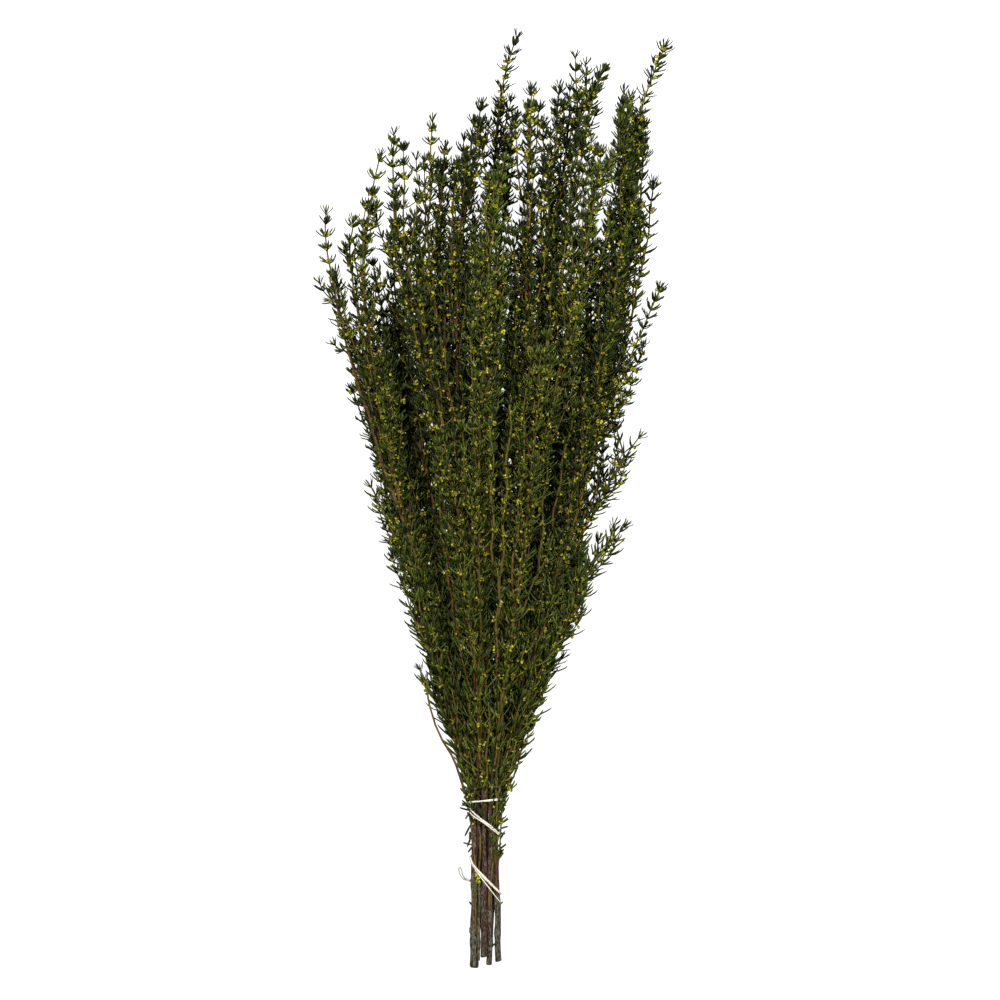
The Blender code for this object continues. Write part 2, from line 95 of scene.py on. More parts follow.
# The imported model's own values
CORNER = math.sqrt(2)
HEXAGON_FLAT = math.sqrt(3) / 2
SEAT_GAP = 0.0003
AIR_GAP = 0.0013
TIGHT_Y = -0.220
LOOSE_Y = -0.120
RING_STEP = 0.032
RING_NUMBERS = (-11, 12)
TEST_STEP = 0.008
PUSHES = 240
PUSH_SHARE = 0.8
LEAST_DISTANCE = 1e-6
TIP_FREEDOM = (0.1, 0.5)
SEAT_LENGTH = 0.050
TIE_TAPER = 0.87
WOOD_TOP_RADIUS = 0.0014
ROOT_HALF = 0.0009
CORE_HALF = 0.0012
TIP_HALF = 0.00045
ROOT_TAPER = 0.040
TIP_TAPER = 0.020
LONG_SPRAY = 0.090
GROUND_SHARE = 0.6
TIP_LEAF_REACH = 0.006
BAND_THICKNESS = 0.0009
# Where the band is at the stems' left and right sides in turn
BAND_HEIGHTS = (-0.2273, -0.2250, -0.2302, -0.2520, -0.2685, -0.2975, -0.2860)
BAND_POINTS = 24
BAND_TAIL = (-0.0062, 0.0100, 0.0042)

# How far the stems' centres spread at each height: Y, left X, right X, lowest Z, highest Z
SPREAD = (
    (-0.352, -0.0130, 0.0080, 0.0018, 0.0098), (-0.265, -0.0118, 0.0048, 0.0041, 0.0094),
    (-0.226, -0.0125, 0.0058, 0.0030, 0.0110), (-0.181, -0.0200, 0.0140, 0.0012, 0.0210),
    (-0.113, -0.0350, 0.0340, 0.0012, 0.0430), (-0.038, -0.0570, 0.0580, 0.0012, 0.0650),
    (0.037, -0.0820, 0.0770, 0.0012, 0.0830), (0.112, -0.1050, 0.0970, 0.0012, 0.0980),
    (0.187, -0.1200, 0.1100, 0.0012, 0.1070), (0.262, -0.1120, 0.1140, 0.0012, 0.1060),
    (0.352, -0.1000, 0.1150, 0.0012, 0.1000),
)
TIE_Y = -0.265
FLOOR_DEPTH = -1
MIDDLE_X = 0.0035

# Each stem: cut end (X, Y, Z), place in the tie (X, Z), radius at the cut, height where its wood ends.
# Its sprays, the first of which carries on from the wood: root Y, tip X, tip Y, depth, and lean.
STEMS = {
    "left": (
        (-0.0120, -0.3515, 0.0062),
        (-0.01175, 0.0066),
        0.0030,
        0.080,
        (
            (0.080, -0.1210, 0.219, 0.15, 1.25), (-0.025, -0.1010, 0.213, 0.00, 0.70),
            (-0.070, -0.1050, 0.088, -0.25, 1.20), (-0.150, -0.0915, 0.016, 0.15, 0.90),
            (-0.005, -0.0810, 0.261, 0.35, 0.70), (-0.208, -0.0525, -0.131, -0.10, 0.80),
            (-0.182, -0.0610, -0.080, 0.45, 0.80),
        ),
    ),
    "thin": (
        (-0.0081, -0.3460, 0.0100),
        (-0.00790, 0.0086),
        0.0011,
        -0.090,
        (
            (-0.090, -0.0885, 0.183, -0.70, 0.90), (-0.120, -0.1090, 0.136, -0.80, 0.80),
            (-0.105, -0.0735, 0.198, -0.30, 0.70), (-0.200, -0.0580, -0.092, -0.60, 0.80),
        ),
    ),
    "centre": (
        (-0.0045, -0.3435, 0.0084),
        (-0.00440, 0.0093),
        0.0024,
        0.040,
        (
            (0.040, -0.0420, 0.287, 0.45, 0.90), (-0.045, -0.0710, 0.278, 0.05, 0.70),
            (-0.015, -0.0630, 0.266, 0.70, 0.70), (0.000, -0.0330, 0.268, 0.05, 0.70),
            (0.020, -0.0135, 0.271, 0.60, 0.70), (-0.080, 0.0110, 0.256, 0.95, 0.70),
            (-0.200, -0.0180, -0.046, 0.95, 0.70), (-0.130, -0.0380, 0.062, 0.95, 0.70),
        ),
    ),
    "middle": (
        (-0.0005, -0.3495, 0.0054),
        (0.00015, 0.0090),
        0.0021,
        0.060,
        (
            (0.060, 0.0310, 0.311, 0.30, 0.90), (0.015, 0.0520, 0.313, 0.10, 0.70),
            (-0.010, 0.0855, 0.326, -0.15, 1.00), (0.030, 0.0720, 0.287, 0.45, 0.70),
            (-0.045, 0.0830, 0.263, 0.80, 0.70), (-0.125, 0.0430, 0.127, 0.98, 0.70),
            (-0.198, 0.0190, -0.083, 0.90, 0.70),
        ),
    ),
    "right": (
        (0.0064, -0.3470, 0.0045),
        (0.00460, 0.0074),
        0.0023,
        0.060,
        (
            (0.060, 0.1305, 0.343, 0.20, 1.20), (0.030, 0.1110, 0.287, -0.15, 0.80),
            (0.005, 0.0990, 0.308, 0.50, 0.70), (-0.025, 0.1215, 0.241, -0.05, 0.80),
            (-0.055, 0.1275, 0.162, 0.35, 1.90), (-0.120, 0.1140, 0.0525, 0.20, 1.70),
            (-0.158, 0.1030, -0.014, -0.05, 1.70), (-0.188, 0.0760, -0.062, 0.35, 0.90),
        ),
    ),
    "back_left": (
        (-0.0086, -0.3380, 0.0018),
        (-0.00750, 0.0042),
        0.0021,
        0.020,
        (
            (0.020, -0.0060, 0.300, -0.05, 0.80), (-0.035, -0.0375, 0.205, -0.50, 0.70),
            (-0.065, -0.0210, 0.215, -1.00, 0.70), (-0.105, -0.0560, 0.194, -1.00, 0.70),
        ),
    ),
    "back_centre": (
        (-0.0036, -0.3400, 0.0016),
        (-0.00330, 0.0041),
        0.0019,
        0.060,
        (
            (0.060, 0.0210, 0.351, -0.35, 0.90), (0.005, 0.0180, 0.290, -0.75, 0.70),
            (-0.035, 0.0340, 0.232, -1.00, 0.70), (-0.165, -0.0150, 0.005, -1.00, 0.70),
        ),
    ),
    "back_right": (
        (0.0024, -0.3360, 0.0017),
        (0.00100, 0.0042),
        0.0020,
        0.010,
        (
            (0.010, 0.0525, 0.247, -0.55, 0.80), (-0.030, 0.0915, 0.228, -0.50, 0.80),
            (-0.060, 0.0750, 0.224, -1.00, 0.70), (-0.090, 0.1125, 0.168, -0.75, 0.90),
            (-0.130, 0.0930, 0.028, -0.45, 1.10), (-0.195, 0.0570, -0.113, -0.30, 0.90),
        ),
    ),
}
BEND_CURVE = 1.5
NO_BEND = (1, 0)
TIP_BENDS = {
    "right_1": (0.090, 0.027),
    "middle_3": (0.060, 0.022),
    "back_centre_1": (0.045, 0.010),
    "left_1": (0.020, -0.002),
}

# Twigs
LINE_STEP = 0.004
WOBBLE = 0.0007
WOBBLE_LENGTHS = (0.031, 0.053, 0.092)
WOBBLE_START = 0.040  # over which it grows from nothing
TWIG_TIP_RADIUS = 0.00050
TWIG_GROWTH = 0.0034  # radius gained for each metre below the tip
TWIG_MOST = 0.00115
TWIG_SIDES = 6
SHOOT_RADIUS = 0.00062
SHOOT_SIDES = 4
SHOOT_TIP_SHARE = 0.8  # of a twig's radius at its tip
SHOOT_POINT_STEP = 0.008
LEADER_OVERLAP = 0.004  # of the green twig with the wood below it

# Side shoots
SHOOT_STEPS = (0.0135, 0.0155)
SHOOT_UNEVEN = (0.7, 1.3)
SHOOT_TURN = 0.5
SHOOT_BARE = 0.004  # length at its root that has no leaves
SHOOT_END = 0.002  # length at its tip that has no pairs of leaves
SHOOT_TRIES = 12
TRY_SHRINK = 0.9  # of the spread, from one try to the next
SHOOT_LENGTHS = (0.035, 0.080)
SHOOT_SPREADS = ((0.006, 0.016), (0.006, 0.018))
FULL_SPREAD_LENGTH = 0.05  # shorter ones spread less
SIDE_TONE = 0.08
PLUME_LENGTH = 0.110  # at a spray's end, over which its side shoots draw in
PLUME_SHARE = 0.35
PLUME_STEP = 0.74
SHOOT_FROM = 0.10  # share of a spray, from its root, that has none
WOOD_SHOOTS_FROM = -0.221
WOOD_SHOOT_STEP = 0.0115
WOOD_SHOOT_RISE = 0.35  # steeper than this towards the top they would hide the twigs
SIMPLE_TIP = 0.024  # length at a spray's tip that has none
SIMPLE_SHARE = 0.6  # of that length, by which they stop short of the spray's tip
SIMPLE_TIPS = {
    "left_1": 0.075, "left_2": 0.068, "left_5": 0.062, "centre_1": 0.050,
    "centre_2": 0.068, "centre_3": 0.062, "right_1": 0.070, "right_5": 0.030,
    "thin_1": 0.050, "thin_2": 0.050, "thin_3": 0.045, "back_centre_1": 0.080,
}
LOWEST_SHOOT = 0.004
OUTER_SHARES = (1.18, 1.02)  # how far shoots may reach, as a share of the stems' spread

# Sprays with a longer bare stretch at the root, as a share of their length
BARE_SHARES = {"left_6": 0.70, "left_4": 0.25}
LEADER_BARE = 0.012  # bare length of those that carry on from the wood
BARE_UNTIL = {"left_1": 0.118}  # height up to which one of them is bare

USUAL_TONES = (0.28, 0.62)
DEEP_SHADE = 0.8  # share of the tone that is left to sprays deep inside the bunch
# Sprays that are darker or brighter than most
SPRAY_TONES = {
    "back_centre_1": 0.10, "back_left_1": 0.12, "centre_5": 0.22, "middle_1": 0.30,
    "middle_2": 0.25, "middle_3": 0.40, "centre_6": 0.74, "middle_6": 0.72,
    "middle_5": 0.60, "centre_8": 0.62, "right_1": 0.30, "right_4": 0.58,
    "left_1": 0.55, "left_2": 0.48,
}

# How far apart the pairs of leaves are on a stem's sprays, or on one of them, as a share of the usual
NODE_SHARES = {
    "left": 1.04, "thin": 1.02, "centre": 0.95, "middle": 0.86,
    "right": 0.84, "back_left": 1.0, "back_centre": 0.90, "back_right": 0.95,
    "middle_3": 0.72, "back_centre_1": 0.58, "right_1": 0.56, "right_5": 0.70,
    "right_6": 0.70, "right_7": 0.74, "right_8": 0.78,
}

# Side shoots that stand out in the photograph: spray, root height, tip X and tip Y
SHOWN_SHOOTS = (
    ("left_1", 0.1455, -0.1300, 0.1610), ("left_1", 0.1090, -0.1190, 0.1150),
    ("middle_3", 0.2980, 0.0680, 0.3240), ("left_2", 0.1700, -0.1110, 0.1870),
    ("middle_5", 0.2300, 0.0860, 0.2540), ("back_right_3", 0.2150, 0.0740, 0.2400),
    ("back_centre_1", 0.2600, 0.0160, 0.2860), ("right_5", 0.0780, 0.1100, 0.1140),
    ("right_5", 0.0560, 0.1020, 0.0870), ("right_5", 0.0470, 0.0960, 0.0780),
    ("right_5", 0.0370, 0.0915, 0.0660), ("right_5", 0.0800, 0.0965, 0.1190),
    ("right_5", 0.0650, 0.0870, 0.1130), ("right_6", -0.0150, 0.0905, 0.0330),
    ("right_6", -0.0080, 0.0980, 0.0290), ("right_7", -0.0700, 0.0890, -0.0190),
    ("right_7", -0.0630, 0.0905, -0.0310), ("right_7", -0.0850, 0.0780, -0.0300),
    ("right_8", -0.1150, 0.0650, -0.0830), ("middle_3", 0.2850, 0.0600, 0.3290),
    ("middle_3", 0.2600, 0.0560, 0.3050), ("middle_3", 0.2600, 0.0740, 0.3020),
    ("middle_3", 0.2800, 0.0780, 0.3170), ("right_1", 0.2550, 0.0950, 0.2920),
    ("right_1", 0.2400, 0.1080, 0.2760),
)
SHOWN_SHOOT_RISES = (-0.004, 0.006)
SHOWN_SHOOT_BOW = 0.8

# Tips that shape the bunch's edge in the photograph, as X and Y
EDGE_TIPS = (
    (0.0780, 0.0240), (0.0640, 0.0160), (0.0660, -0.0150), (0.0590, -0.0080),
    (0.0610, -0.0420), (0.0695, -0.0495), (0.0600, -0.0600), (0.0650, -0.0700),
    (0.0510, -0.1010), (0.0415, -0.1270), (0.0365, -0.1400), (0.0300, -0.1570),
    (0.0265, -0.1700), (0.0205, -0.1860), (0.0120, -0.2020), (-0.0860, 0.0330),
    (-0.0880, -0.0020), (-0.0765, -0.0440), (-0.0680, -0.0590), (-0.0590, -0.0790),
    (-0.0510, -0.1080), (-0.0270, -0.1500), (-0.0215, -0.1680),
)

# The leafy mass's edges, seen from above: Y, left X and right X
MASS_EDGES = (
    (-0.226, -0.0200, 0.0077), (-0.207, -0.0255, 0.0152), (-0.184, -0.0343, 0.0250),
    (-0.155, -0.0440, 0.0340), (-0.125, -0.0530, 0.0452), (-0.098, -0.0560, 0.0565),
    (-0.068, -0.0670, 0.0700), (-0.042, -0.0800, 0.0725), (-0.001, -0.0880, 0.0715),
    (0.028, -0.0900, 0.0790), (0.044, -0.0960, 0.0865), (0.070, -0.1000, 0.0925),
    (0.112, -0.0960, 0.0885), (0.142, -0.0780, 0.0970), (0.190, -0.0520, 0.1050),
    (0.215, -0.0520, 0.1160), (0.240, -0.0520, 0.1200),
)
MASS_MARGIN = 0.004
EDGE_MARGIN = 0.001
LEFT_EDGE_TOP = 0.085  # above it the left side is made of plumes that stand apart
FREE_SPRAYS = ("right_5", "right_6", "right_7", "right_8")  # the plumes outside the right edge

# Thin places in the leafy mass are filled with further shoots
CELL = 0.006
FEW_LEAVES = 17
FEW_FULL_LEAVES = 1
FEW_IN_CROWN = 0.4  # share of those above CROWN_Y
CROWN_Y = 0.130
FILL_HEIGHTS = (-0.200, 0.200)
UPPER_SHARE = 0.42  # of the bunch's height; leaves below it don't count where full leaves are few
FILL_RUN = 0.045
FILL_REACH = 0.040
FILL_BOW = 0.6
FILL_TONES = (0.3, 0.65)
PLAIN_RISES = (-0.008, 0.005)
FULL_RISES = (-0.002, 0.007)
DEEP_WEIGHT = 0.25  # how much a line's height counts against it
HIGH_WEIGHT = -0.20  # and for it, where the shoot isn't a plain one

# Twigs that lie uncovered in the photograph: X and Y of the lower and the upper end, and radius at the lower
SHOWN_TWIGS = (
    (-0.0120, -0.2150, -0.0100, -0.1300, 0.00125), (-0.0060, -0.2120, -0.0040, -0.1500, 0.00110),
    (-0.0190, -0.2000, -0.0280, -0.1300, 0.00135), (-0.0262, -0.1600, -0.0430, -0.0860, 0.00180),
    (0.0045, -0.1560, 0.0140, -0.0850, 0.00215), (0.0010, -0.2050, 0.0070, -0.1300, 0.00115),
    (0.0110, -0.1950, 0.0270, -0.1250, 0.00115), (0.0250, -0.1480, 0.0430, -0.0900, 0.00120),
    (0.0030, -0.0850, 0.0120, 0.0700, 0.00130), (-0.0310, -0.0820, -0.0420, 0.0100, 0.00120),
    (0.0180, -0.0900, 0.0450, -0.0250, 0.00110), (0.0430, -0.0150, 0.0590, 0.0700, 0.00105),
    (-0.0580, -0.0600, -0.0860, 0.0560, 0.00130), (0.0130, -0.0600, 0.0230, 0.0450, 0.00100),
    (-0.0150, -0.1300, -0.0230, -0.0400, 0.00110), (0.0010, -0.1250, 0.0030, -0.0500, 0.00095),
    (-0.0380, -0.1150, -0.0560, -0.0500, 0.00105), (-0.0015, -0.0450, -0.0020, 0.0650, 0.00100),
    (0.0330, -0.0500, 0.0400, 0.0450, 0.00100),
)
SHOWN_DEPTH = 1.03
SHOWN_LIFTS = ((-0.218, -0.190), (-0.0035, 0.0025))  # so that those near the tie stay under it
# One that stands clear of the leaves at the left of the tie, and the radii of its ends
BARE_TWIG = (
    (-0.0172, -0.2400, 0.0022), (-0.0196, -0.2270, 0.0034), (-0.0222, -0.2195, 0.0085),
    (-0.0250, -0.2110, 0.0150), (-0.0288, -0.1990, 0.0210), (-0.0322, -0.1915, 0.0235),
    (-0.0390, -0.1805, 0.0265), (-0.0442, -0.1690, 0.0290), (-0.0487, -0.1540, 0.0305),
    (-0.0512, -0.1390, 0.0310), (-0.0560, -0.1270, 0.0300),
)
BARE_RADII = (0.00105, 1.3 * TWIG_TIP_RADIUS)
BARE_TONE = 0.6
BARE_SHARE = 0.90  # of its length that has no leaves
SHOWN_RUN = 0.035  # over which one rises from inside the bunch
SHOWN_ARCH = 0.3
SHOWN_WAVE = 0.0012
SHOWN_WAVE_LENGTH = 0.045
SHOWN_TAPER = 0.55
SHOWN_TONES = (0.4, 0.7)
SHOWN_SIZE = 0.9

# Leaves: a pair is the value near the tie and that in the crown, or the limits of a random draw
ZONE = (-0.16, 0.04)
NODE_STEPS = (0.0122, 0.0106)
NODE_UNEVEN = (0.8, 1.25)
PAIR_TURN = 0.25
LEAF_LENGTHS = (0.0140, 0.0098)
NECK_Y = (-0.228, -0.165)  # over which they grow to their full length
NECK_SHARE = 0.64
END_SIZE = 0.86  # share of their size that leaves have at a shoot's tip
END_LENGTH = 0.02  # over which they shrink to it
UNEVEN = (0.85, 1.15)
LEAF_WIDTHS = (0.00148, 0.00134)
LEAF_THICKNESS = 0.68  # as a share of the width
FIRST_LEANS = (0.80, 1.22)
LAST_LEANS = (0.42, 0.60)
FIRST_UNEVEN = (0.8, 1.15)
LAST_UNEVEN = (0.3, 1.7)
MAIN_SWING = 0.2
TIP_CLOSING = 0.45  # share of the last lean that is left at a shoot's tip
TIP_CLOSING_LENGTH = 0.035
TUFT_LEAVES = (0.2, 1.5)  # smaller leaves in each leaf's axil
TUFT_UNEVEN = (-0.5, 0.8)
TIP_TUFTS = 1.8  # and so many more of them at a shoot's tip, in the crown
SPRAY_TUFTS = 2.2  # and at the tip of a spray's own twig
SPRAY_TUFTS_LENGTH = 0.090  # over which the spray's grow from nothing
TUFT_LENGTHS = (0.65, 1.0)
TUFT_WIDTH = 0.92
TUFT_LEAN = 0.8
TUFT_SWING = 1.15
TUFT_RISES = (0.0002, 0.0014)
# The upright leaves that end a shoot
TIP_LEAVES = 7
TIP_TURN = 0.3
TIP_DEPTHS = (0.0004, 0.0022)
TIP_LENGTH = 1.3
TIP_UNEVEN = (0.85, 1.2)
TIP_WIDTH = 0.72
TIP_LEANS = (0.45, 1.1)
TIP_LAST_LEAN = 0.1
# Shares of a leaf's length, and of its width there; one with a width fewer ends in a point
FULL_FORM = ((0.0, 0.36, 0.80, 1.0), (0.70, 1.0, 0.90, 0.50))
SMALL_FORM = ((0.0, 0.74, 1.0), (0.85, 1.0))
PLAIN_FORM = ((0.0, 1.0), (1.0,))  # for those under the bunch and deep inside it
PLAIN_DEPTH = -0.4
PLAIN_WIDTH = 1.35
# Painted shade: the dark tone of the plain leaves that fill the bunch deep inside
SHADED_PLAIN_TONE = 0.24
TONE_SPREAD = 0.29
# Shift of the leaves' tone near the tie and in the crown; the crown's lower tone is painted shade, for the
# shade of its dense leaves
ZONE_TONES_AND_SHADE = (0.21, -0.18)
LEAF_FLOOR = 0.0012
LEAF_LIFT_CURVE = 0.7
LEAF_SEAT = 0.0003  # from the twig's middle line

# Flower buds
BUD_LENGTH = 0.0027
BUD_WIDTH = 0.0026
BUD_SIDES = 4
BUD_RINGS = ((0.28, 0.94), (0.66, 0.90))  # share of the length, share of the width
BUD_ODDS = (0.22, 0.42)
BUD_COUNTS = (2, 3, 3, 5)
BUD_TURN = 1.3
BUD_SWING = 1.1
BUD_LEANS = (0.5, 1.25)
BUD_RISES = (-0.0006, 0.0026)
BUD_ASIDES = (0.0007, 0.0021)
BUD_SIZES = (0.8, 1.15)
PLAIN_BUDS = 0.10  # share of them on plain shoots

# Wood
WOOD_STEP = 0.003
WOOD_SIDES = 12
WOOD_OVERLAP = 0.006
WOOD_RIDGE_SETS = 4
RIDGE_WAVES = (2, 5)  # round the stem
RIDGE_TWIST = 14
WOOD_RIDGES = 0.050
WOOD_UNEVEN = 0.05  # how much the thickness comes and goes
WOOD_SWAY = 0.00022
WOOD_SWAY_LENGTHS = (0.041, 0.074)
KNOT_RISE = 0.30
KNOT_LENGTH = 0.0035
KNOT_STEP = 0.03
KNOT_SIZES = (0.4, 1)
RING_KNOTS = {
    "centre": (-0.2740, -0.2960, -0.3195),
    "left": (-0.2900, -0.3330),
    "middle": (-0.3100, -0.2820),
    "right": (-0.3030, -0.2700, -0.3250),
}
RING_KNOT_RISE = 0.22
RING_KNOT_UNEVEN = 0.3
WOOD_SLIMS = {"centre": 0.76, "middle": 0.76, "left": 0.82, "right": 0.84, "thin": 0.9}  # above SLIM_Y
SLIM_Y = (-0.292, -0.272)
# How red the bark is near the cut, and in the tie
REDNESS = {"left": 0.12, "thin": 0.30, "centre": 0.85, "middle": 0.50, "right": 0.25}
USUAL_REDNESS = 0.4
TIE_REDNESS = 0.90
# Painted shade: past the reddest tone, the bark is painted dark where the leaves hide the wood, over these
# heights
LEAF_SHADE_TONE = 2.0  # of the wood that the leaves hide
LEAF_SHADE_Y = (-0.236, -0.212)
# Cut ends that stand a little aside, so that light shows between the stems in front of them
CUT_SHIFTS = {"back_right": -0.0022, "back_left": -0.0012, "thin": -0.0008}
SHIFT_TOP = -0.295
CUT_SWELLS = {"left": 0.26}
CUT_SWELL = 0.06  # of the others
CUT_SWELL_LENGTH = 0.006
CUT_ROUNDS = {"left": 0.0026}
CUT_ROUND = 0.0009  # length of the worn edge of the other cuts
CUT_WEAR = 0.60
CUT_SLANT = 0.35
CUT_RINGS = (0, 0.0006, 0.0014)

# Left of this, what lies by the tie grows with the left stem, and right of it with the right one
TIE_SPLIT_X = -0.008
LYING_SHARE = 0.7  # of its radius: how high something thin has its middle over the bark

# Single leaves that stand out by the tie: X and Y of the root and of the tip
TIE_LEAVES = (
    (-0.0205, -0.2225, -0.0262, -0.2165), (-0.0200, -0.2235, -0.0245, -0.2152),
    (-0.0184, -0.2288, -0.0250, -0.2297), (-0.0182, -0.2338, -0.0220, -0.2400),
    (-0.0178, -0.2438, -0.0225, -0.2530), (-0.0176, -0.2400, -0.0206, -0.2345),
    (-0.0172, -0.2520, -0.0207, -0.2608), (-0.0165, -0.2600, -0.0200, -0.2650),
    (-0.0168, -0.3045, -0.0192, -0.3016), (-0.0130, -0.2800, -0.0158, -0.2722),
    (-0.0125, -0.2775, -0.0118, -0.2720), (0.0068, -0.2270, 0.0092, -0.2196),
    (0.0052, -0.2300, 0.0090, -0.2293), (0.0050, -0.2360, 0.0078, -0.2316),
    (0.0048, -0.2432, 0.0104, -0.2397), (0.0044, -0.2470, 0.0101, -0.2453),
    (0.0042, -0.2505, 0.0082, -0.2510), (0.0042, -0.2550, 0.0076, -0.2490),
    (0.0040, -0.2625, 0.0088, -0.2584), (0.0036, -0.2650, 0.0072, -0.2625),
    (0.0032, -0.2678, 0.0062, -0.2638), (0.0034, -0.3040, 0.0064, -0.3018),
    (-0.0022, -0.3350, 0.0010, -0.3330),
)

# Twigs inside the bundle, seen in the gaps between its stems: radius, X, height, lowest and highest Y
INNER_TWIGS = (
    (0.0013, -0.0131, 0.0056, -0.3010, -0.1950),
    (0.0012, -0.0052, 0.0062, -0.3080, -0.1950),
    (0.0013, -0.0012, 0.0058, -0.2960, -0.1900),
)

# Patches of small leaves on the stems: lowest and highest Y, left and right X, how many, and lean
TIE_PATCHES = (
    (-0.2720, -0.2480, -0.0035, 0.0028, 34, 0.35),
    (-0.2480, -0.2150, -0.0035, 0.0046, 34, 0.35),
    (-0.2600, -0.2120, -0.0200, -0.0160, 18, -0.45),
    (-0.2520, -0.2080, -0.0165, -0.0050, 22, 0.0),
    (-0.2240, -0.1880, -0.0215, 0.0100, 60, 0.0),
)
TIE_LEAF_LENGTHS = (0.0048, 0.0080)
TIE_LEAF_WIDTH = 0.00150
TIE_LEAF_TONE = 0.45
TIE_LEAF_BEND = 0.25
PATCH_TURN = 0.45
PATCH_RISES = (-0.02, 0.06)

# Thin twigs that lie on the stems: radius, tone, then X and Y of points from the lowest up
TIE_TWIGS = (
    (0.00062, 0.90, ((-0.0133, -0.2810), (-0.0170, -0.2560), (-0.0189, -0.2260), (-0.0215, -0.2030))),
    (0.00078, 0.80, ((-0.0110, -0.2710), (-0.0106, -0.2480), (-0.0103, -0.2260), (-0.0103, -0.1900))),
    (0.00072, 0.35, ((-0.0035, -0.2500), (-0.0013, -0.2370), (0.0017, -0.2250), (0.0070, -0.2070))),
    (0.00060, 0.25, ((-0.0140, -0.3270), (-0.0144, -0.3045), (-0.0159, -0.2895), (-0.0148, -0.2770))),
    (0.00060, 0.50, ((-0.0163, -0.3195), (-0.0170, -0.3010), (-0.0170, -0.2895))),
    (0.00105, 0.45, ((-0.0039, -0.3080), (-0.0043, -0.2955), (-0.0020, -0.2785), (-0.0005, -0.2630))),
    (0.00090, 0.00, ((0.0010, -0.2970), (0.0017, -0.2785), (-0.0005, -0.2595), (-0.0020, -0.2450))),
    (0.00070, 0.30, ((-0.0080, -0.2260), (-0.0058, -0.2145), (-0.0028, -0.1950))),
    (0.00062, 0.85, ((0.0022, -0.2630), (0.0012, -0.2410), (0.0025, -0.2180))),
    (
        0.00058,
        0.70,
        ((0.0026, -0.2760), (0.0040, -0.2600), (0.0046, -0.2480), (0.0052, -0.2340), (0.0082, -0.2130)),
    ),
)
TIE_TWIG_RISE = 0.12  # height that they gain for each metre above the tie
TWIG_SINK = 0.0003  # how far they may stand out past the stems' outer line, under the tie

# Flower buds on the stems: X, Y and how many
TIE_BUDS = (
    (-0.0138, -0.2822, 6), (-0.0126, -0.2850, 7), (-0.0103, -0.2085, 5),
    (-0.0150, -0.2415, 2), (-0.0010, -0.2320, 2),
)
TIE_BUD_SPREAD = 0.0017
TIE_BUD_SIZES = (0.9, 0.95)  # of the usual length and width
TIE_BUD_TONES = (0.6, 0.85)
TIE_BUD_ASIDES = (-0.9, 0.9)
TIE_BUD_AHEAD = (-0.6, 0.9)
TIE_BUD_RISE = 0.45

# A dried tendril curled back to its stem, as X, Y and height above the stem's middle
TENDRIL = (
    (-0.0172, -0.3290, 0.001), (-0.0194, -0.3232, 0.002), (-0.0186, -0.3205, 0.003),
    (-0.0166, -0.3228, 0.003), (-0.0150, -0.3250, 0.002),
)
TENDRIL_RADIUS = 0.00030

# The tie
CORD_RADII = (0.00062, 0.00050)
CORD_APART = 0.00044
CORD_SIDES = 10
CORD_FLATNESS = 0.7
CORD_RIBS = 4200.0
CORD_CLOSING = (0.15, 1)  # share of the distance between the cords, over the first half turn
# In the second and third turns: share of the way across, and share of the fall by there
CORD_STEEP = (0.09, 0.23)
SECOND_LIFT = 0.0010
THIRD_LIFT = 0.0012
SECOND_DROP = 0.0026
LOOSE_DROP = 0.0050
LOOSE_FROM = 0.20
WIDE_CORD = 1.9  # how much wider the upper cord is in the third turn, where it is drawn flat
# The free loop: points on each side, its bow, how far its sides are apart, its crown, and how much
# thicker its cord is drawn
LOOP_POINTS = 8
LOOP_BOW = (-0.0016, -0.0026, 0.0006)
LOOP_WIDTH = (-0.0025, 0.0005, 0)
LOOP_CROWN = (-0.0002, 0.0007, 0.0003)
LOOP_THICKNESS = 1.35


def between(pair, share):
    return pair[0] + (pair[1] - pair[0]) * share


def unit(vectors):
    return vectors / np.linalg.norm(vectors, axis=-1, keepdims=True)


def eased(share):
    share = np.clip(share, 0, 1)
    return share * share * (3 - 2 * share)


def read(place, places, columns):
    """Columns of numbers, read between their rows."""
    return np.stack([np.interp(place, places, column) for column in columns.T], axis=-1)


def at_height(y, table):
    """The columns of a table whose rows start with their height, read at a height."""
    heights, *columns = np.array(table).T
    return [np.interp(y, heights, column) for column in columns]


def stem_of(name):
    return name.rsplit("_", 1)[0]


class Strand:
    """A stem or a spray: the heights of its rings, its centres there as X and Z, and its reach round them."""

    def __init__(self, name, parent, heights, centres, halves, reach):
        self.name, self.parent = name, parent
        self.heights, self.centres = heights, centres
        self.halves, self.reach = halves, reach
        self.free = np.ones((len(heights), 2))
        self.free[-1] = TIP_FREEDOM

    def centre(self, y):
        return read(y, self.heights, self.centres)

    def reach_at(self, y):
        return np.interp(y, self.heights, self.reach)


def share_of(x, z, y):
    left, right, low, high = at_height(y, SPREAD)
    return 2 * (x - left) / (right - left) - 1, 2 * (z - low) / (high - low) - 1


def place_of(across, depth, y):
    left, right, low, high = at_height(y, SPREAD)
    x = left + (across + 1) / 2 * (right - left)
    z = low + (depth + 1) / 2 * (high - low)
    return np.stack([x, z], axis=-1)


def ring_heights(start, end):
    steps = np.arange(*RING_NUMBERS) * RING_STEP
    inner = steps[(steps > start + RING_STEP / 3) & (steps < end - RING_STEP / 3)]
    return np.concatenate([[start], inner, [end]])


def bent_aside(name, heights, end):
    length, aside = TIP_BENDS.get(name, NO_BEND)
    return aside * np.clip((heights - end) / length + 1, 0, 1) ** BEND_CURVE


def tip_across(name, tip_x, tip_y):
    """Where a strand's tip would be, across the bunch, without its bend."""
    return share_of(tip_x - TIP_BENDS.get(name, NO_BEND)[1], 0, tip_y)[0]


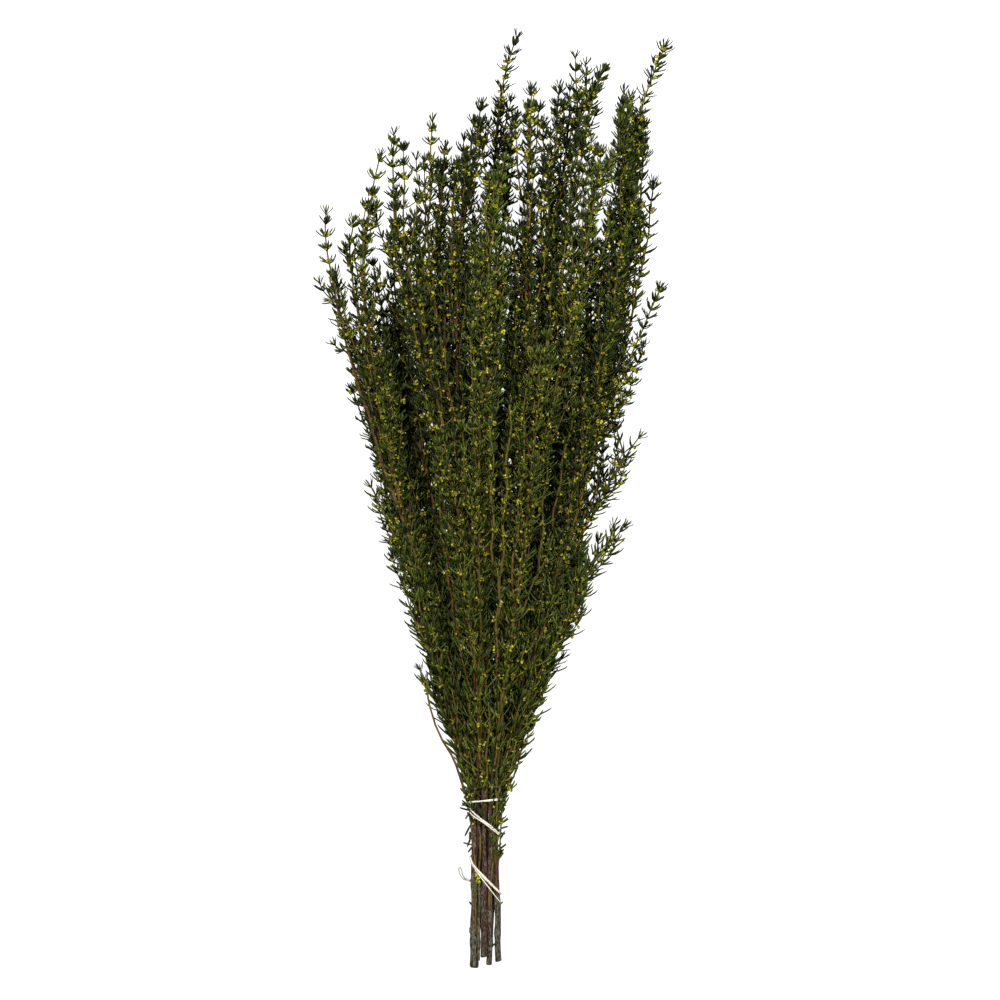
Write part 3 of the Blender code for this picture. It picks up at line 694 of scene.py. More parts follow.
def leader(name, stem):
    """A stem's wood, and the spray that carries on from it."""
    cut, tie, radius, wood_top, sprays = stem
    _, tip_x, tip_y, tip_depth, lean = sprays[0]
    end = tip_y - TIP_LEAF_REACH
    heights = np.unique(np.concatenate([ring_heights(cut[1], end), [TIE_Y, wood_top]]))
    tie_across, tie_depth = share_of(tie[0], tie[1], TIE_Y)
    above = np.clip((heights - TIE_Y) / (end - TIE_Y), 0, 1) ** lean
    across = tie_across + (tip_across(name, tip_x, tip_y) - tie_across) * above
    centres = place_of(across, tie_depth + (tip_depth - tie_depth) * above, heights)
    centres[:, 0] += bent_aside(name, heights, end)
    below = np.clip((heights - cut[1]) / (TIE_Y - cut[1]), 0, 1)[:, None]
    straight = np.array([cut[0], cut[2]]) * (1 - below) + np.array(tie) * below
    in_tie = heights <= TIE_Y
    centres = np.where(in_tie[:, None], straight, centres)
    shoot = (wood_top + SEAT_GAP, wood_top + ROOT_TAPER, end - TIP_TAPER, end)
    shoot_halves = (ROOT_HALF, CORE_HALF, CORE_HALF, TIP_HALF)
    halves = np.interp(heights, shoot, shoot_halves)
    wood = (radius, TIE_TAPER * radius, min(WOOD_TOP_RADIUS, radius))
    stations = (cut[1], TIE_Y, wood_top, *shoot)
    reach = np.interp(heights, stations, [*wood, *(half * CORNER for half in shoot_halves)])
    strand = Strand(name, None, heights, centres, halves, reach)
    strand.free[in_tie] = 0
    return strand


def side_spray(name, parent, root, tip_x, tip_y, tip_depth, lean):
    """A spray that leaves its stem at a height, and then runs beside it."""
    end = tip_y - TIP_LEAF_REACH
    heights = ring_heights(root, end)
    start_across, start_depth = share_of(*parent.centre(root), root)
    along = (heights - root) / (end - root)
    descent = eased(along / GROUND_SHARE) if tip_depth == FLOOR_DEPTH else along**lean
    across = start_across + (tip_across(name, tip_x, tip_y) - start_across) * along**lean
    centres = place_of(across, start_depth + (tip_depth - start_depth) * descent, heights)
    centres[:, 0] += bent_aside(name, heights, end)
    full = CORE_HALF if end - root > LONG_SPRAY else (ROOT_HALF + CORE_HALF) / 2
    stations = (root, root + ROOT_TAPER, end - TIP_TAPER, end)
    halves = np.interp(heights, stations, [ROOT_HALF, full, full, TIP_HALF])
    strand = Strand(name, parent, heights, centres, halves, halves * CORNER)
    if tip_depth == FLOOR_DEPTH:
        grounded = along >= GROUND_SHARE
        strand.free[grounded, 1] = 0
        strand.centres[grounded, 1] = CORE_HALF
    return strand


def seat_roots(strands):
    for strand in strands:
        if strand.parent is None:
            continue
        root = strand.heights[0]
        away = strand.centres[1] - strand.parent.centre(strand.heights[1])
        away /= np.linalg.norm(away)
        distance = strand.parent.reach_at(root) + strand.reach[0] + SEAT_GAP
        strand.centres[0] = strand.parent.centre(root) + away * distance


def wanted_gaps(strands, heights):
    """How far apart the middles of each two strands are to be, at each height."""
    reach = np.array([strand.reach_at(heights) for strand in strands])
    loose = np.interp(heights, [TIGHT_Y, LOOSE_Y], [SEAT_GAP, AIR_GAP])
    wanted = reach[:, None] + reach[None] + loose
    for number, strand in enumerate(strands):
        if strand.parent is None:
            continue
        other = strands.index(strand.parent)
        past_root = np.clip((heights - strand.heights[0]) / SEAT_LENGTH, 0, 1)
        near_root = (loose - SEAT_GAP) * (1 - past_root)
        wanted[number, other] -= near_root
        wanted[other, number] -= near_root
    return wanted


def ring_shares(rings, heights):
    return np.array([np.interp(heights, rings, row, left=0, right=0) for row in np.eye(len(rings))])


def push_strand(strand, share, move):
    step = share @ move / np.maximum(share.sum(axis=1, keepdims=True), 1)
    strand.centres += step * strand.free
    half_height = strand.halves if strand.parent else np.maximum(strand.halves, strand.reach * HEXAGON_FLAT)
    strand.centres[:, 1] = np.maximum(strand.centres[:, 1], half_height)


def hold_apart(strands):
    """Push the strands apart, a little at a time, until none runs through another."""
    lowest = min(strand.heights[0] for strand in strands)
    highest = max(strand.heights[-1] for strand in strands)
    heights = np.arange(lowest, highest, TEST_STEP)
    wanted = wanted_gaps(strands, heights)
    there = np.array([(heights >= s.heights[0]) & (heights <= s.heights[-1]) for s in strands])
    pairs = there[:, None] & there[None] & ~np.eye(len(strands), dtype=bool)[:, :, None]
    shares = [ring_shares(strand.heights, heights) * active for strand, active in zip(strands, there)]
    for _ in range(PUSHES):
        seat_roots(strands)
        places = np.array([strand.centre(heights) for strand in strands])
        apart = places[:, None] - places[None]
        distance = np.maximum(np.linalg.norm(apart, axis=-1), LEAST_DISTANCE)
        missing = np.where(pairs, np.maximum(wanted - distance, 0), 0)
        moves = (apart / distance[..., None] * missing[..., None]).sum(axis=1) * PUSH_SHARE
        for strand, share, move in zip(strands, shares, moves):
            push_strand(strand, share, move)
    seat_roots(strands)


def make_strands():
    """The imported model's stems and sprays, by the rules that shape its solids."""
    strands = []
    for name, stem in STEMS.items():
        main = leader(f"{name}_1", stem)
        strands.append(main)
        for number, spray in enumerate(stem[-1][1:], 2):
            strands.append(side_spray(f"{name}_{number}", main, *spray))
    hold_apart(strands)
    for strand in strands:
        strand.centres[:, 0] -= MIDDLE_X
    return strands


def sides_of(directions):
    """Two directions square to each of these and to each other: the first level, the second upwards."""
    level = unit(np.cross(directions, [0.0, 0.0, 1.0]))
    return level, np.cross(level, directions)


class Node:
    """A place on a line, with the way that the line runs there and the directions round it."""

    def __init__(self, root, upward):
        self.root, self.upward = root, upward
        self.level, self.up = sides_of(upward)

    def outward(self, turn):
        return self.level * math.cos(turn) + self.up * math.sin(turn)


class Line:
    """A smooth line through close points, read by the length along it."""

    def __init__(self, points):
        self.points = points
        steps = np.linalg.norm(np.diff(points, axis=0), axis=1)
        self.lengths = np.concatenate([[0], np.cumsum(steps)])
        self.length = self.lengths[-1]
        self.directions = unit(np.gradient(points, self.lengths, axis=0))

    def at(self, length):
        return read(length, self.lengths, self.points)

    def direction(self, length):
        return unit(read(length, self.lengths, self.directions))

    def node(self, length):
        return Node(self.at(length), self.direction(length))

    def length_at(self, y):
        return float(np.interp(y, self.points[:, 1], self.lengths))


def smooth_centres(strand, y):
    """The strand's centre at heights between its rings, on a smooth curve through them."""
    slopes = np.gradient(strand.centres, strand.heights, axis=0)
    ring = np.clip(np.searchsorted(strand.heights, y, side="right") - 1, 0, len(strand.heights) - 2)
    gap = strand.heights[ring + 1] - strand.heights[ring]
    t = ((y - strand.heights[ring]) / gap)[:, None]
    low, high = strand.centres[ring], strand.centres[ring + 1]
    low_slope, high_slope = slopes[ring] * gap[:, None], slopes[ring + 1] * gap[:, None]
    return low + (high - low) * eased(t) + low_slope * t * (1 - t) ** 2 - high_slope * t * t * (1 - t)


def strand_line(strand, chance):
    """The strand's middle line with the small bends that a grown twig has."""
    start, end = strand.heights[0], strand.heights[-1]
    y = np.linspace(start, end, max(6, round((end - start) / LINE_STEP)))
    centres = smooth_centres(strand, y)
    calm_until = TIGHT_Y if strand.parent is None else start
    growth = eased((y - calm_until) / WOBBLE_START)
    for axis in (0, 1):
        for length in WOBBLE_LENGTHS:
            phase = chance.uniform(0, TAU)
            centres[:, axis] += WOBBLE * growth * np.sin(TAU * y / length + phase) / len(WOBBLE_LENGTHS)
    centres[:, 1] = np.maximum(centres[:, 1], CORE_HALF)
    points = np.stack([centres[:, 0], y, centres[:, 1]], axis=1)
    if strand.parent is not None:
        x, z = strand.parent.centre(start - LINE_STEP)
        points = np.vstack([[x, start - LINE_STEP, z], points])
    return Line(points)


class Sheaf:
    """Triangles gathered from many small forms, with one number of each kind at each point."""

    def __init__(self):
        self.points, self.faces, self.numbers = [], [], {}
        self.count = 0

    def add(self, points, faces, **numbers):
        self.points.append(points.reshape(-1, 3))
        self.faces.append(faces.reshape(-1, 3) + self.count)
        for name, values in numbers.items():
            self.numbers.setdefault(name, []).append(np.asarray(values, float).reshape(-1))
        self.count += len(self.points[-1])

    def piece(self, name, material):
        points = np.concatenate(self.points)
        points[:, 2] = np.maximum(points[:, 2], 0)
        faces = np.concatenate(self.faces)
        mesh = bpy.data.meshes.new(name)
        mesh.vertices.add(len(points))
        mesh.vertices.foreach_set("co", points.ravel())
        mesh.loops.add(faces.size)
        mesh.loops.foreach_set("vertex_index", faces.ravel())
        mesh.polygons.add(len(faces))
        mesh.polygons.foreach_set("loop_start", np.arange(0, faces.size, 3))
        mesh.polygons.foreach_set("use_smooth", np.ones(len(faces), bool))
        for kind, values in self.numbers.items():
            attribute = mesh.attributes.new(kind, "FLOAT", "POINT")
            attribute.data.foreach_set("value", np.concatenate(values))
        mesh.update(calc_edges=True)
        mesh.validate()
        mesh.materials.append(material)
        piece = add_object(name, mesh)
        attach(piece, "root")
        return piece


def add_object(name, data):
    thing = bpy.data.objects.new(name, data)
    bpy.context.scene.collection.objects.link(thing)
    return thing


def turns_round(sides):
    return TAU * np.arange(sides) / sides


def circles(level, up, sides):
    """The directions all round each point of a line."""
    turns = turns_round(sides)[:, None]
    return level[:, None] * np.cos(turns) + up[:, None] * np.sin(turns)


def strip_faces(rings, sides):
    """Triangles between rings of points, each ring after the other."""
    ring, side = np.meshgrid(np.arange(rings - 1), np.arange(sides), indexing="ij")
    a = ring * sides + side
    b = ring * sides + (side + 1) % sides
    return np.stack([a, b, b + sides, a, b + sides, a + sides], axis=-1).reshape(-1, 3)


def closed_faces(rings, sides):
    """Triangles of rings of points that are followed by their two end points."""
    side = np.arange(sides)
    after = (side + 1) % sides
    first = rings * sides
    top = first - sides
    low_end = np.stack([after, side, np.full(sides, first)], axis=1)
    high_end = np.stack([top + side, top + after, np.full(sides, first + 1)], axis=1)
    return np.vstack([strip_faces(rings, sides), low_end, high_end])


def repeated_faces(faces, count, size):
    """The triangles of one form, for each of as many that have the same number of points."""
    return (np.arange(count) * size)[:, None, None] + faces


def tube(sheaf, line, radii, sides, tone):
    """A closed round tube along a line."""
    around = circles(*sides_of(line.directions), sides)
    rings = line.points[:, None] + around * np.asarray(radii)[:, None, None]
    points = np.vstack([rings.reshape(-1, 3), line.points[:1], line.points[-1:]])
    along = np.concatenate([np.repeat(line.lengths / line.length, sides), [0, 1]])
    sheaf.add(points, closed_faces(len(rings), sides), along=along, tone=np.full(len(points), tone))


def leaf_places(rows, shares):
    """The middle points of curved leaves, one row of stations for each leaf."""
    roots, upward, outward = rows[:, 0:3], rows[:, 3:6], rows[:, 6:9]
    length, first_lean, last_lean = rows[:, 9], rows[:, 11], rows[:, 12]
    middles = (shares[1:] + shares[:-1]) / 2
    lean = first_lean[:, None] + (last_lean - first_lean)[:, None] * middles
    headings = upward[:, None] * np.cos(lean)[..., None] + outward[:, None] * np.sin(lean)[..., None]
    steps = headings * (np.diff(shares) * length[:, None])[..., None]
    places = np.concatenate([roots[:, None], roots[:, None] + np.cumsum(steps, axis=1)], axis=1)
    short = np.maximum(LEAF_FLOOR - places[..., 2].min(axis=1), 0)
    places[..., 2] += short[:, None] * shares**LEAF_LIFT_CURVE
    return places


def add_leaves(sheaf, rows, form):
    """Closed needle leaves with three sides, flat above and keeled below."""
    shares, widths = np.array(form[0]), np.array(form[1])
    upward, outward = rows[:, 3:6], rows[:, 6:9]
    count, rings = len(rows), len(widths)
    places = leaf_places(rows, shares)
    across = unit(np.cross(upward, outward))
    directions = unit(np.diff(places, axis=1))
    directions = np.concatenate([directions, directions[:, -1:]], axis=1)[:, :rings]
    below = np.cross(directions, across[:, None])
    below *= np.sign((below * outward[:, None]).sum(axis=-1, keepdims=True))
    width = rows[:, 10:11] * widths
    half = across[:, None] * width[..., None] / 2
    keel = below * (LEAF_THICKNESS * width)[..., None]
    middle = places[:, :rings]
    corners = np.stack([middle + half, middle - half, middle + keel], axis=2)
    points = np.concatenate([corners.reshape(count, 3 * rings, 3), places[:, rings:]], axis=1)
    last, tip, size = 3 * (rings - 1), 3 * rings, points.shape[1]
    ends = [[last, last + 1, last + 2], [2, 1, 0]]
    if size > tip:
        ends = [[last, last + 1, tip], [last + 1, last + 2, tip], [last + 2, last, tip], [2, 1, 0]]
    faces = repeated_faces(np.vstack([strip_faces(rings, 3), ends]), count, size)
    along = np.tile(np.append(np.repeat(shares[:rings], 3), shares[rings:]), count)
    sheaf.add(points, faces, along=along, tone=np.repeat(rows[:, 13], size))


def add_buds(sheaf, rows):
    """Plump closed buds along their headings."""
    roots, headings = rows[:, 0:3], rows[:, 3:6]
    lengths, widths, tones = rows[:, 6], rows[:, 7], rows[:, 8]
    around = circles(*sides_of(headings), BUD_SIDES)
    rings = []
    for share, wide in BUD_RINGS:
        middle = roots + headings * (lengths * share)[:, None]
        rings.append(middle[:, None] + around * (widths * wide / 2)[:, None, None])
    tips = roots + headings * lengths[:, None]
    points = np.concatenate([*rings, roots[:, None], tips[:, None]], axis=1)
    count, size = points.shape[:2]
    faces = repeated_faces(closed_faces(len(BUD_RINGS), BUD_SIDES), count, size)
    shares = np.repeat([share for share, _ in BUD_RINGS], BUD_SIDES)
    along = np.tile(np.concatenate([shares, [0, 1]]), count)
    sheaf.add(points, faces, along=along, tone=np.repeat(tones, size))


def zone_at(y):
    """0 near the tie, 1 in the crown."""
    return float(np.clip((y - ZONE[0]) / (ZONE[1] - ZONE[0]), 0, 1))


# How a shoot's leaves look: their tone from 0 to 1, their size, whether they are the plain ones,
# how far apart they are, and how many more there are in each axil towards the end
Manner = namedtuple("Manner", "tone size plain step tufts", defaults=(1, 0))


class Growth:
    """Twigs, leaves and buds gathered for one stem, the last two as rows of numbers."""

    def __init__(self, chance):
        self.chance = chance
        self.full_leaves = []
        self.small_leaves = []
        self.plain_leaves = []
        self.buds = []
        self.twigs = Sheaf()
        self.roots = []

    def tone_near(self, tone):
        return min(max(tone + self.chance.gauss(0, TONE_SPREAD), 0), 1)

    def add_shoot(self, line, manner, twig_tone):
        """A side shoot: a thin twig and the leaves along it."""
        radii = np.interp(line.lengths, [0, line.length], [SHOOT_RADIUS, TWIG_TIP_RADIUS * SHOOT_TIP_SHARE])
        tube(self.twigs, line, radii, SHOOT_SIDES, twig_tone)
        self.dress(line, SHOOT_BARE, manner)

    def dress(self, line, first, manner):
        """Opposite leaves with their tufts and buds along a shoot, each pair square to the last."""
        chance = self.chance
        place = first
        quarter = chance.random() * math.pi
        while place < line.length - SHOOT_END:
            zone = zone_at(line.at(place)[1])
            self.whorl(line, place, quarter, zone, manner)
            place += between(NODE_STEPS, zone) * chance.uniform(*NODE_UNEVEN) * manner.size * manner.step
            quarter += math.pi / 2 + chance.uniform(-PAIR_TURN, PAIR_TURN)
        self.tip(line, quarter, manner)

    def whorl(self, line, place, quarter, zone, manner):
        """A pair of leaves, with smaller ones and buds in their axils."""
        chance = self.chance
        node = line.node(place)
        ahead = line.length - place
        to_tip = min(1, ahead / TIP_CLOSING_LENGTH)
        vigour = manner.size * between((END_SIZE, 1), min(1, ahead / END_LENGTH))
        full = between(LEAF_LENGTHS, zone) * vigour * float(np.interp(node.root[1], NECK_Y, (NECK_SHARE, 1)))
        leans = (between(FIRST_LEANS, zone), between(LAST_LEANS, zone) * between((TIP_CLOSING, 1), to_tip))
        to_end = min(1, ahead / SPRAY_TUFTS_LENGTH)
        fuller = TIP_TUFTS * (1 - to_tip) + manner.tufts * (1 - to_end) if zone == 1 else 0
        tufted = round(between(TUFT_LEAVES, zone) + fuller + chance.uniform(*TUFT_UNEVEN))
        for turn in (quarter, quarter + math.pi):
            for number in range(1 + tufted):
                self.axil_leaf(node, turn, zone, full, leans, manner, number == 0)
            if chance.random() < between(BUD_ODDS, zone) * (PLAIN_BUDS if manner.plain else 1):
                is_beside = chance.random() < 0.5
                facing = turn if is_beside else math.pi / 2 + chance.uniform(-BUD_TURN, BUD_TURN)
                self.cluster(node, facing, chance.choice(BUD_COUNTS))

    def axil_leaf(self, node, turn, zone, full, leans, manner, is_main):
        """One of a pair's two leaves, or a smaller one in its axil."""
        chance = self.chance
        swing = MAIN_SWING if is_main else TUFT_SWING
        outward = node.outward(turn + chance.uniform(-swing, swing))
        length = full * chance.uniform(*UNEVEN) * (1 if is_main else chance.uniform(*TUFT_LENGTHS))
        first_lean = leans[0] * (1 if is_main else TUFT_LEAN) * chance.uniform(*FIRST_UNEVEN)
        last_lean = leans[1] * chance.uniform(*LAST_UNEVEN)
        rise = 0 if is_main else chance.uniform(*TUFT_RISES)
        start = node.root + node.upward * rise + outward * LEAF_SEAT
        # The tone shifts from the tie to the crown, where its lower value is painted shade
        tone = self.tone_near(manner.tone + between(ZONE_TONES_AND_SHADE, zone))
        width = between(LEAF_WIDTHS, zone) * (PLAIN_WIDTH if manner.plain else 1)
        width *= chance.uniform(*UNEVEN) * (1 if is_main else TUFT_WIDTH)
        row = (*start, *node.upward, *outward, length, width, first_lean, last_lean, tone)
        if manner.plain:
            leaves = self.small_leaves if is_main else self.plain_leaves
        else:
            leaves = self.full_leaves if is_main else self.small_leaves
        leaves.append(row)

    def cluster(self, node, turn, count):
        """Flower buds crowded in a leaf's axil."""
        chance = self.chance
        for _ in range(count):
            outward = node.outward(turn + chance.uniform(-BUD_SWING, BUD_SWING))
            lean = chance.uniform(*BUD_LEANS)
            heading = node.upward * math.cos(lean) + outward * math.sin(lean)
            rise, aside = chance.uniform(*BUD_RISES), chance.uniform(*BUD_ASIDES)
            start = node.root + node.upward * rise + outward * aside
            size = chance.uniform(*BUD_SIZES)
            if start[2] > LEAF_FLOOR + BUD_LENGTH or heading[2] > 0:
                self.buds.append((*start, *heading, BUD_LENGTH * size, BUD_WIDTH * size, chance.random()))

    def tip(self, line, quarter, manner):
        """The upright leaves that end a shoot."""
        chance = self.chance
        node = line.node(line.length)
        for number in range(TIP_LEAVES):
            outward = node.outward(quarter + number * TAU / TIP_LEAVES + chance.uniform(-TIP_TURN, TIP_TURN))
            root = line.at(line.length - chance.uniform(*TIP_DEPTHS))
            length = TIP_LENGTH * TIP_LEAF_REACH * chance.uniform(*TIP_UNEVEN) * manner.size
            tone = self.tone_near(manner.tone)
            leans = (chance.uniform(*TIP_LEANS), TIP_LAST_LEAN)
            row = (*root, *node.upward, *outward, length, LEAF_WIDTHS[1] * TIP_WIDTH, *leans, tone)
            (self.plain_leaves if manner.plain else self.small_leaves).append(row)

    def sheaves(self):
        leaves, buds = Sheaf(), Sheaf()
        add_leaves(leaves, np.array(self.full_leaves), FULL_FORM)
        add_leaves(leaves, np.array(self.small_leaves), SMALL_FORM)
        if self.plain_leaves:
            add_leaves(leaves, np.array(self.plain_leaves), PLAIN_FORM)
        add_buds(buds, np.array(self.buds))
        return leaves, buds


def is_within_edges(point):
    left, right = at_height(point[1], MASS_EDGES)
    return point[0] < right - EDGE_MARGIN and (point[0] > left + EDGE_MARGIN or point[1] > LEFT_EDGE_TOP)


def is_inside(point, is_free):
    """Whether a shoot's tip stays in the space that the stems spread through."""
    if not is_free and not is_within_edges(point):
        return False
    across, depth = share_of(point[0] + MIDDLE_X, point[2], point[1])
    limit = between(OUTER_SHARES, zone_at(point[1]))
    return abs(across) < limit and -1 < depth < limit and point[2] > LOWEST_SHOOT


def side_line(parent, place, turn, length, spread):
    """A side shoot that leaves its twig and then runs beside it."""
    t = np.linspace(0, 1, max(4, round(length / SHOOT_POINT_STEP)))
    ahead = place + length * t
    base = parent.at(ahead) + parent.direction(parent.length) * np.maximum(ahead - parent.length, 0)[:, None]
    outward = Node(base[0], parent.direction(place)).outward(turn)
    return Line(base + outward * (spread * (1 - (1 - t) ** 2))[:, None])


def fitting_line(line, place, turn, length, spread, on_wood, is_free):
    """The first side shoot that stays among the others, tried all round its twig, or None."""
    for attempt in range(SHOOT_TRIES):
        facing = turn + attempt * math.pi / 3
        if on_wood and math.sin(facing) > WOOD_SHOOT_RISE:
            continue
        side = side_line(line, place, facing, length, spread * TRY_SHRINK**attempt)
        if is_inside(side.points[-1], is_free) and side.points[:, 2].min() > CORE_HALF / 2:
            return side
    return None


def side_lines(line, first, last, on_wood, simple, is_free, chance):
    """Side shoots all round a spray or a stem, that stay among the others."""
    found = []
    place = first
    turn = chance.random() * math.pi
    while place < last:
        zone = zone_at(line.at(place)[1])
        length = min(chance.uniform(*SHOOT_LENGTHS), line.length - place - simple * SIMPLE_SHARE)
        spread = chance.uniform(*between(np.array(SHOOT_SPREADS), zone)) * min(1, length / FULL_SPREAD_LENGTH)
        plume = 1 if on_wood else min(1, (line.length - place) / PLUME_LENGTH)
        spread *= between((PLUME_SHARE, 1), plume)
        side = fitting_line(line, place, turn, length, spread, on_wood, is_free)
        if side is not None:
            found.append(side)
        step = WOOD_SHOOT_STEP if on_wood else between(SHOOT_STEPS, zone) * between((PLUME_STEP, 1), plume)
        place += step * chance.uniform(*SHOOT_UNEVEN)
        turn += math.pi / 2 + chance.uniform(-SHOOT_TURN, SHOOT_TURN)
    return found


def twig_radii(line):
    return np.minimum(TWIG_TIP_RADIUS + TWIG_GROWTH * (line.length - line.lengths), TWIG_MOST)


def bowed_line(root, tip, bow, count):
    """A side shoot from its root to its tip, in a slight bow."""
    t = np.linspace(0, 1, count)[:, None]
    points = root + (tip - root) * t
    points[:, 0] += (tip[0] - root[0]) * (t * (1 - t))[:, 0] * bow
    return Line(points)


def shown_line(line, root_y, tip_x, tip_y, chance):
    """A side shoot from a spray to the place where its tip shows in the photograph."""
    root = line.at(line.length_at(root_y))
    tip = np.array([tip_x, tip_y, root[2] + chance.uniform(*SHOWN_SHOOT_RISES)])
    return bowed_line(root, tip, SHOWN_SHOOT_BOW, 6)


def nearest_line(lines, x, y, deep_first=True):
    """The line that passes nearest to a place seen from above, and the length along it."""
    best, found = FILL_REACH, None
    for name, line in lines.items():
        if not line.points[0, 1] < y < line.points[-1, 1] - CELL:
            continue
        place = line.length_at(y)
        there = line.at(place)
        distance = abs(there[0] - x) + there[2] * (DEEP_WEIGHT if deep_first else HIGH_WEIGHT)
        if distance < best:
            best, found = distance, (name, place)
    return found


def add_reaching_shoot(growths, lines, x, y, plain, chance):
    """A shoot that ends at a place seen from above, from the nearest line below it."""
    found = nearest_line(lines, x, y - FILL_RUN, plain)
    if found is None:
        return None
    name, place = found
    root = lines[name].at(place)
    height = root[2] + chance.uniform(*(PLAIN_RISES if plain else FULL_RISES))
    shoot = bowed_line(root, np.array([x, y, max(height, LOWEST_SHOOT)]), FILL_BOW, 7)
    # Plain shoots deep inside get a dark tone, as painted shade
    tone = SHADED_PLAIN_TONE if plain else chance.uniform(*FILL_TONES)
    growths[stem_of(name)].add_shoot(shoot, Manner(tone, 1, plain), chance.random())
    return shoot


def is_upper(row):
    _, _, low, high = at_height(row[1], SPREAD)
    return row[2] > low + UPPER_SHARE * (high - low)


def leaf_roots(growths, plain):
    """Where the leaves are that count as cover, seen from above."""
    found = []
    for growth in growths.values():
        found += [row[:2] for row in growth.full_leaves if plain or is_upper(row)]
        if plain:
            found += [row[:2] for row in (*growth.small_leaves, *growth.plain_leaves)]
    return np.array(found)


def fill_thin_places(growths, lines, plain, few, chance):
    """Further shoots where few leaves cover the bunch, as seen from above."""
    columns = np.arange(cad_box[0][0], cad_box[1][0], CELL)
    rows = np.arange(*FILL_HEIGHTS, CELL)
    counts = np.histogram2d(*leaf_roots(growths, plain).T, bins=[columns, rows])[0]
    for row, y in enumerate(rows[:-1]):
        left, right = at_height(y, MASS_EDGES)
        enough = few * (FEW_IN_CROWN if y > CROWN_Y else 1)
        for column, x in enumerate(columns[:-1] + CELL / 2):
            is_in = left + MASS_MARGIN < x < right - MASS_MARGIN
            if not is_in or counts[column, row] >= enough:
                continue
            shoot = add_reaching_shoot(growths, lines, x, y + CELL, plain, chance)
            for point in () if shoot is None else shoot.points:
                place = (int((point[0] - columns[0]) / CELL), int((point[1] - rows[0]) / CELL))
                if 0 <= place[1] < counts.shape[1]:
                    counts[place] += few / 2


def place_on_top(x, y):
    """A place on the bunch's upper side, from its place seen from above."""
    across, _ = share_of(x + MIDDLE_X, 0, y)
    rounded = math.sqrt(max(0.0, 1 - min(abs(across), 1) ** 2))
    height = place_of(across, 2 * SHOWN_DEPTH * rounded - 1, y)[1] + np.interp(y, *SHOWN_LIFTS)
    return np.array([x, y, height])


def shown_twig_line(root, low, high, chance):
    """From inside the bunch up to one place on its upper side, and on to another in slight waves."""
    t = np.linspace(0, 1, 8)[1:, None]
    rise = root + (low - root) * t + np.array([0, 0, SHOWN_ARCH]) * (low - root)[2] * t * (1 - t)
    run_length = high[1] - low[1]
    t = np.linspace(0, 1, max(4, round(run_length / (2 * LINE_STEP))))[1:, None]
    run = low + (high - low) * t
    run[:, 0] += SHOWN_WAVE * np.sin(TAU * t[:, 0] * run_length / SHOWN_WAVE_LENGTH + chance.uniform(0, 6))
    return Line(np.vstack([root, rise, run]))


def add_shown_twigs(growths, lines, chance):
    """Twigs that lie on top of the leaves, each from the nearest line below its lower end."""
    for low_x, low_y, high_x, high_y, radius in SHOWN_TWIGS:
        found = nearest_line(lines, low_x, low_y - SHOWN_RUN)
        if found is None:
            continue
        name, place = found
        ends = place_on_top(low_x, low_y), place_on_top(high_x, high_y)
        line = shown_twig_line(lines[name].at(place), *ends, chance)
        growth = growths[stem_of(name)]
        end_radii = (radius, max(TWIG_TIP_RADIUS, radius * SHOWN_TAPER))
        radii = np.interp(line.lengths, [0, line.length], end_radii)
        tube(growth.twigs, line, radii, TWIG_SIDES, chance.random())
        growth.dress(line, line.length * 0.5, Manner(chance.uniform(*SHOWN_TONES), SHOWN_SIZE, False))


def add_bare_twig(growth):
    line = Line(np.array(BARE_TWIG))
    tube(growth.twigs, line, np.linspace(*BARE_RADII, len(line.points)), TWIG_SIDES, BARE_TONE)
    growth.dress(line, line.length * BARE_SHARE, Manner(0.5, SHOWN_SIZE, False))


def hull_point(stems, y, turn, offset, level=None):
    """Where a taut band touches the stems in one direction, moved out by the offset.

    The stem that it touches is the one furthest out at that level.
    """
    outward = np.array([math.cos(turn), math.sin(turn)])
    level = y if level is None else level
    touched = max(stems, key=lambda stem: stem.centre(level) @ outward + stem.reach_at(level))
    x, z = touched.centre(y) + outward * (touched.reach_at(y) + offset)
    return np.array([x, y, z])


def bark_top(stems, x, y):
    """How high the stems' upper side is at a place seen from above, or None beside them."""
    found = []
    for stem in stems:
        middle_x, middle_z = stem.centre(y)
        rise = stem.reach_at(y) ** 2 - (x - middle_x) ** 2
        if rise > 0 and y > stem.heights[0]:
            found.append(middle_z + math.sqrt(rise))
    return max(found, default=None)


def taut_top(stems, x, y):
    """How high a taut band round the stems is over them at a place seen from above."""
    points = np.array([hull_point(stems, y, turn, 0) for turn in np.linspace(math.pi, 0, BAND_POINTS)])
    return float(np.interp(x, points[:, 0], points[:, 2]))


def lying_point(stems, x, y, radius):
    """The middle of something thin that lies on the stems and under the tie."""
    taut = taut_top(stems, x, y)
    bark = bark_top(stems, x, y)
    height = taut if bark is None else bark + radius * LYING_SHARE
    return np.array([x, y, min(height, taut + TWIG_SINK - radius)])


def softened(points):
    """Open points eased twice towards their neighbours' middles."""
    for _ in range(2):
        points[1:-1] = (points[:-2] + 2 * points[1:-1] + points[2:]) / 4
    return points


def thin_twig(growth, points, radius, tone):
    tube(growth.twigs, Line(points), np.full(len(points), radius), TWIG_SIDES, tone)


def side_growth(growths, x):
    """The growth that takes what lies by the tie at a place."""
    return growths["left" if x < TIE_SPLIT_X else "right"]


def lie_leaf(growth, stems, root, heading, length):
    """A leaf rooted on the stems, with its flat side upwards."""
    start = lying_point(stems, *root, TIE_LEAF_WIDTH / 2)
    upward = unit(np.array(heading))
    tone = growth.tone_near(TIE_LEAF_TONE)
    leans = [growth.chance.uniform(-TIE_LEAF_BEND, TIE_LEAF_BEND) for _ in range(2)]
    growth.full_leaves.append((*start, *upward, 0, 0, 1, length, TIE_LEAF_WIDTH, *leans, tone))


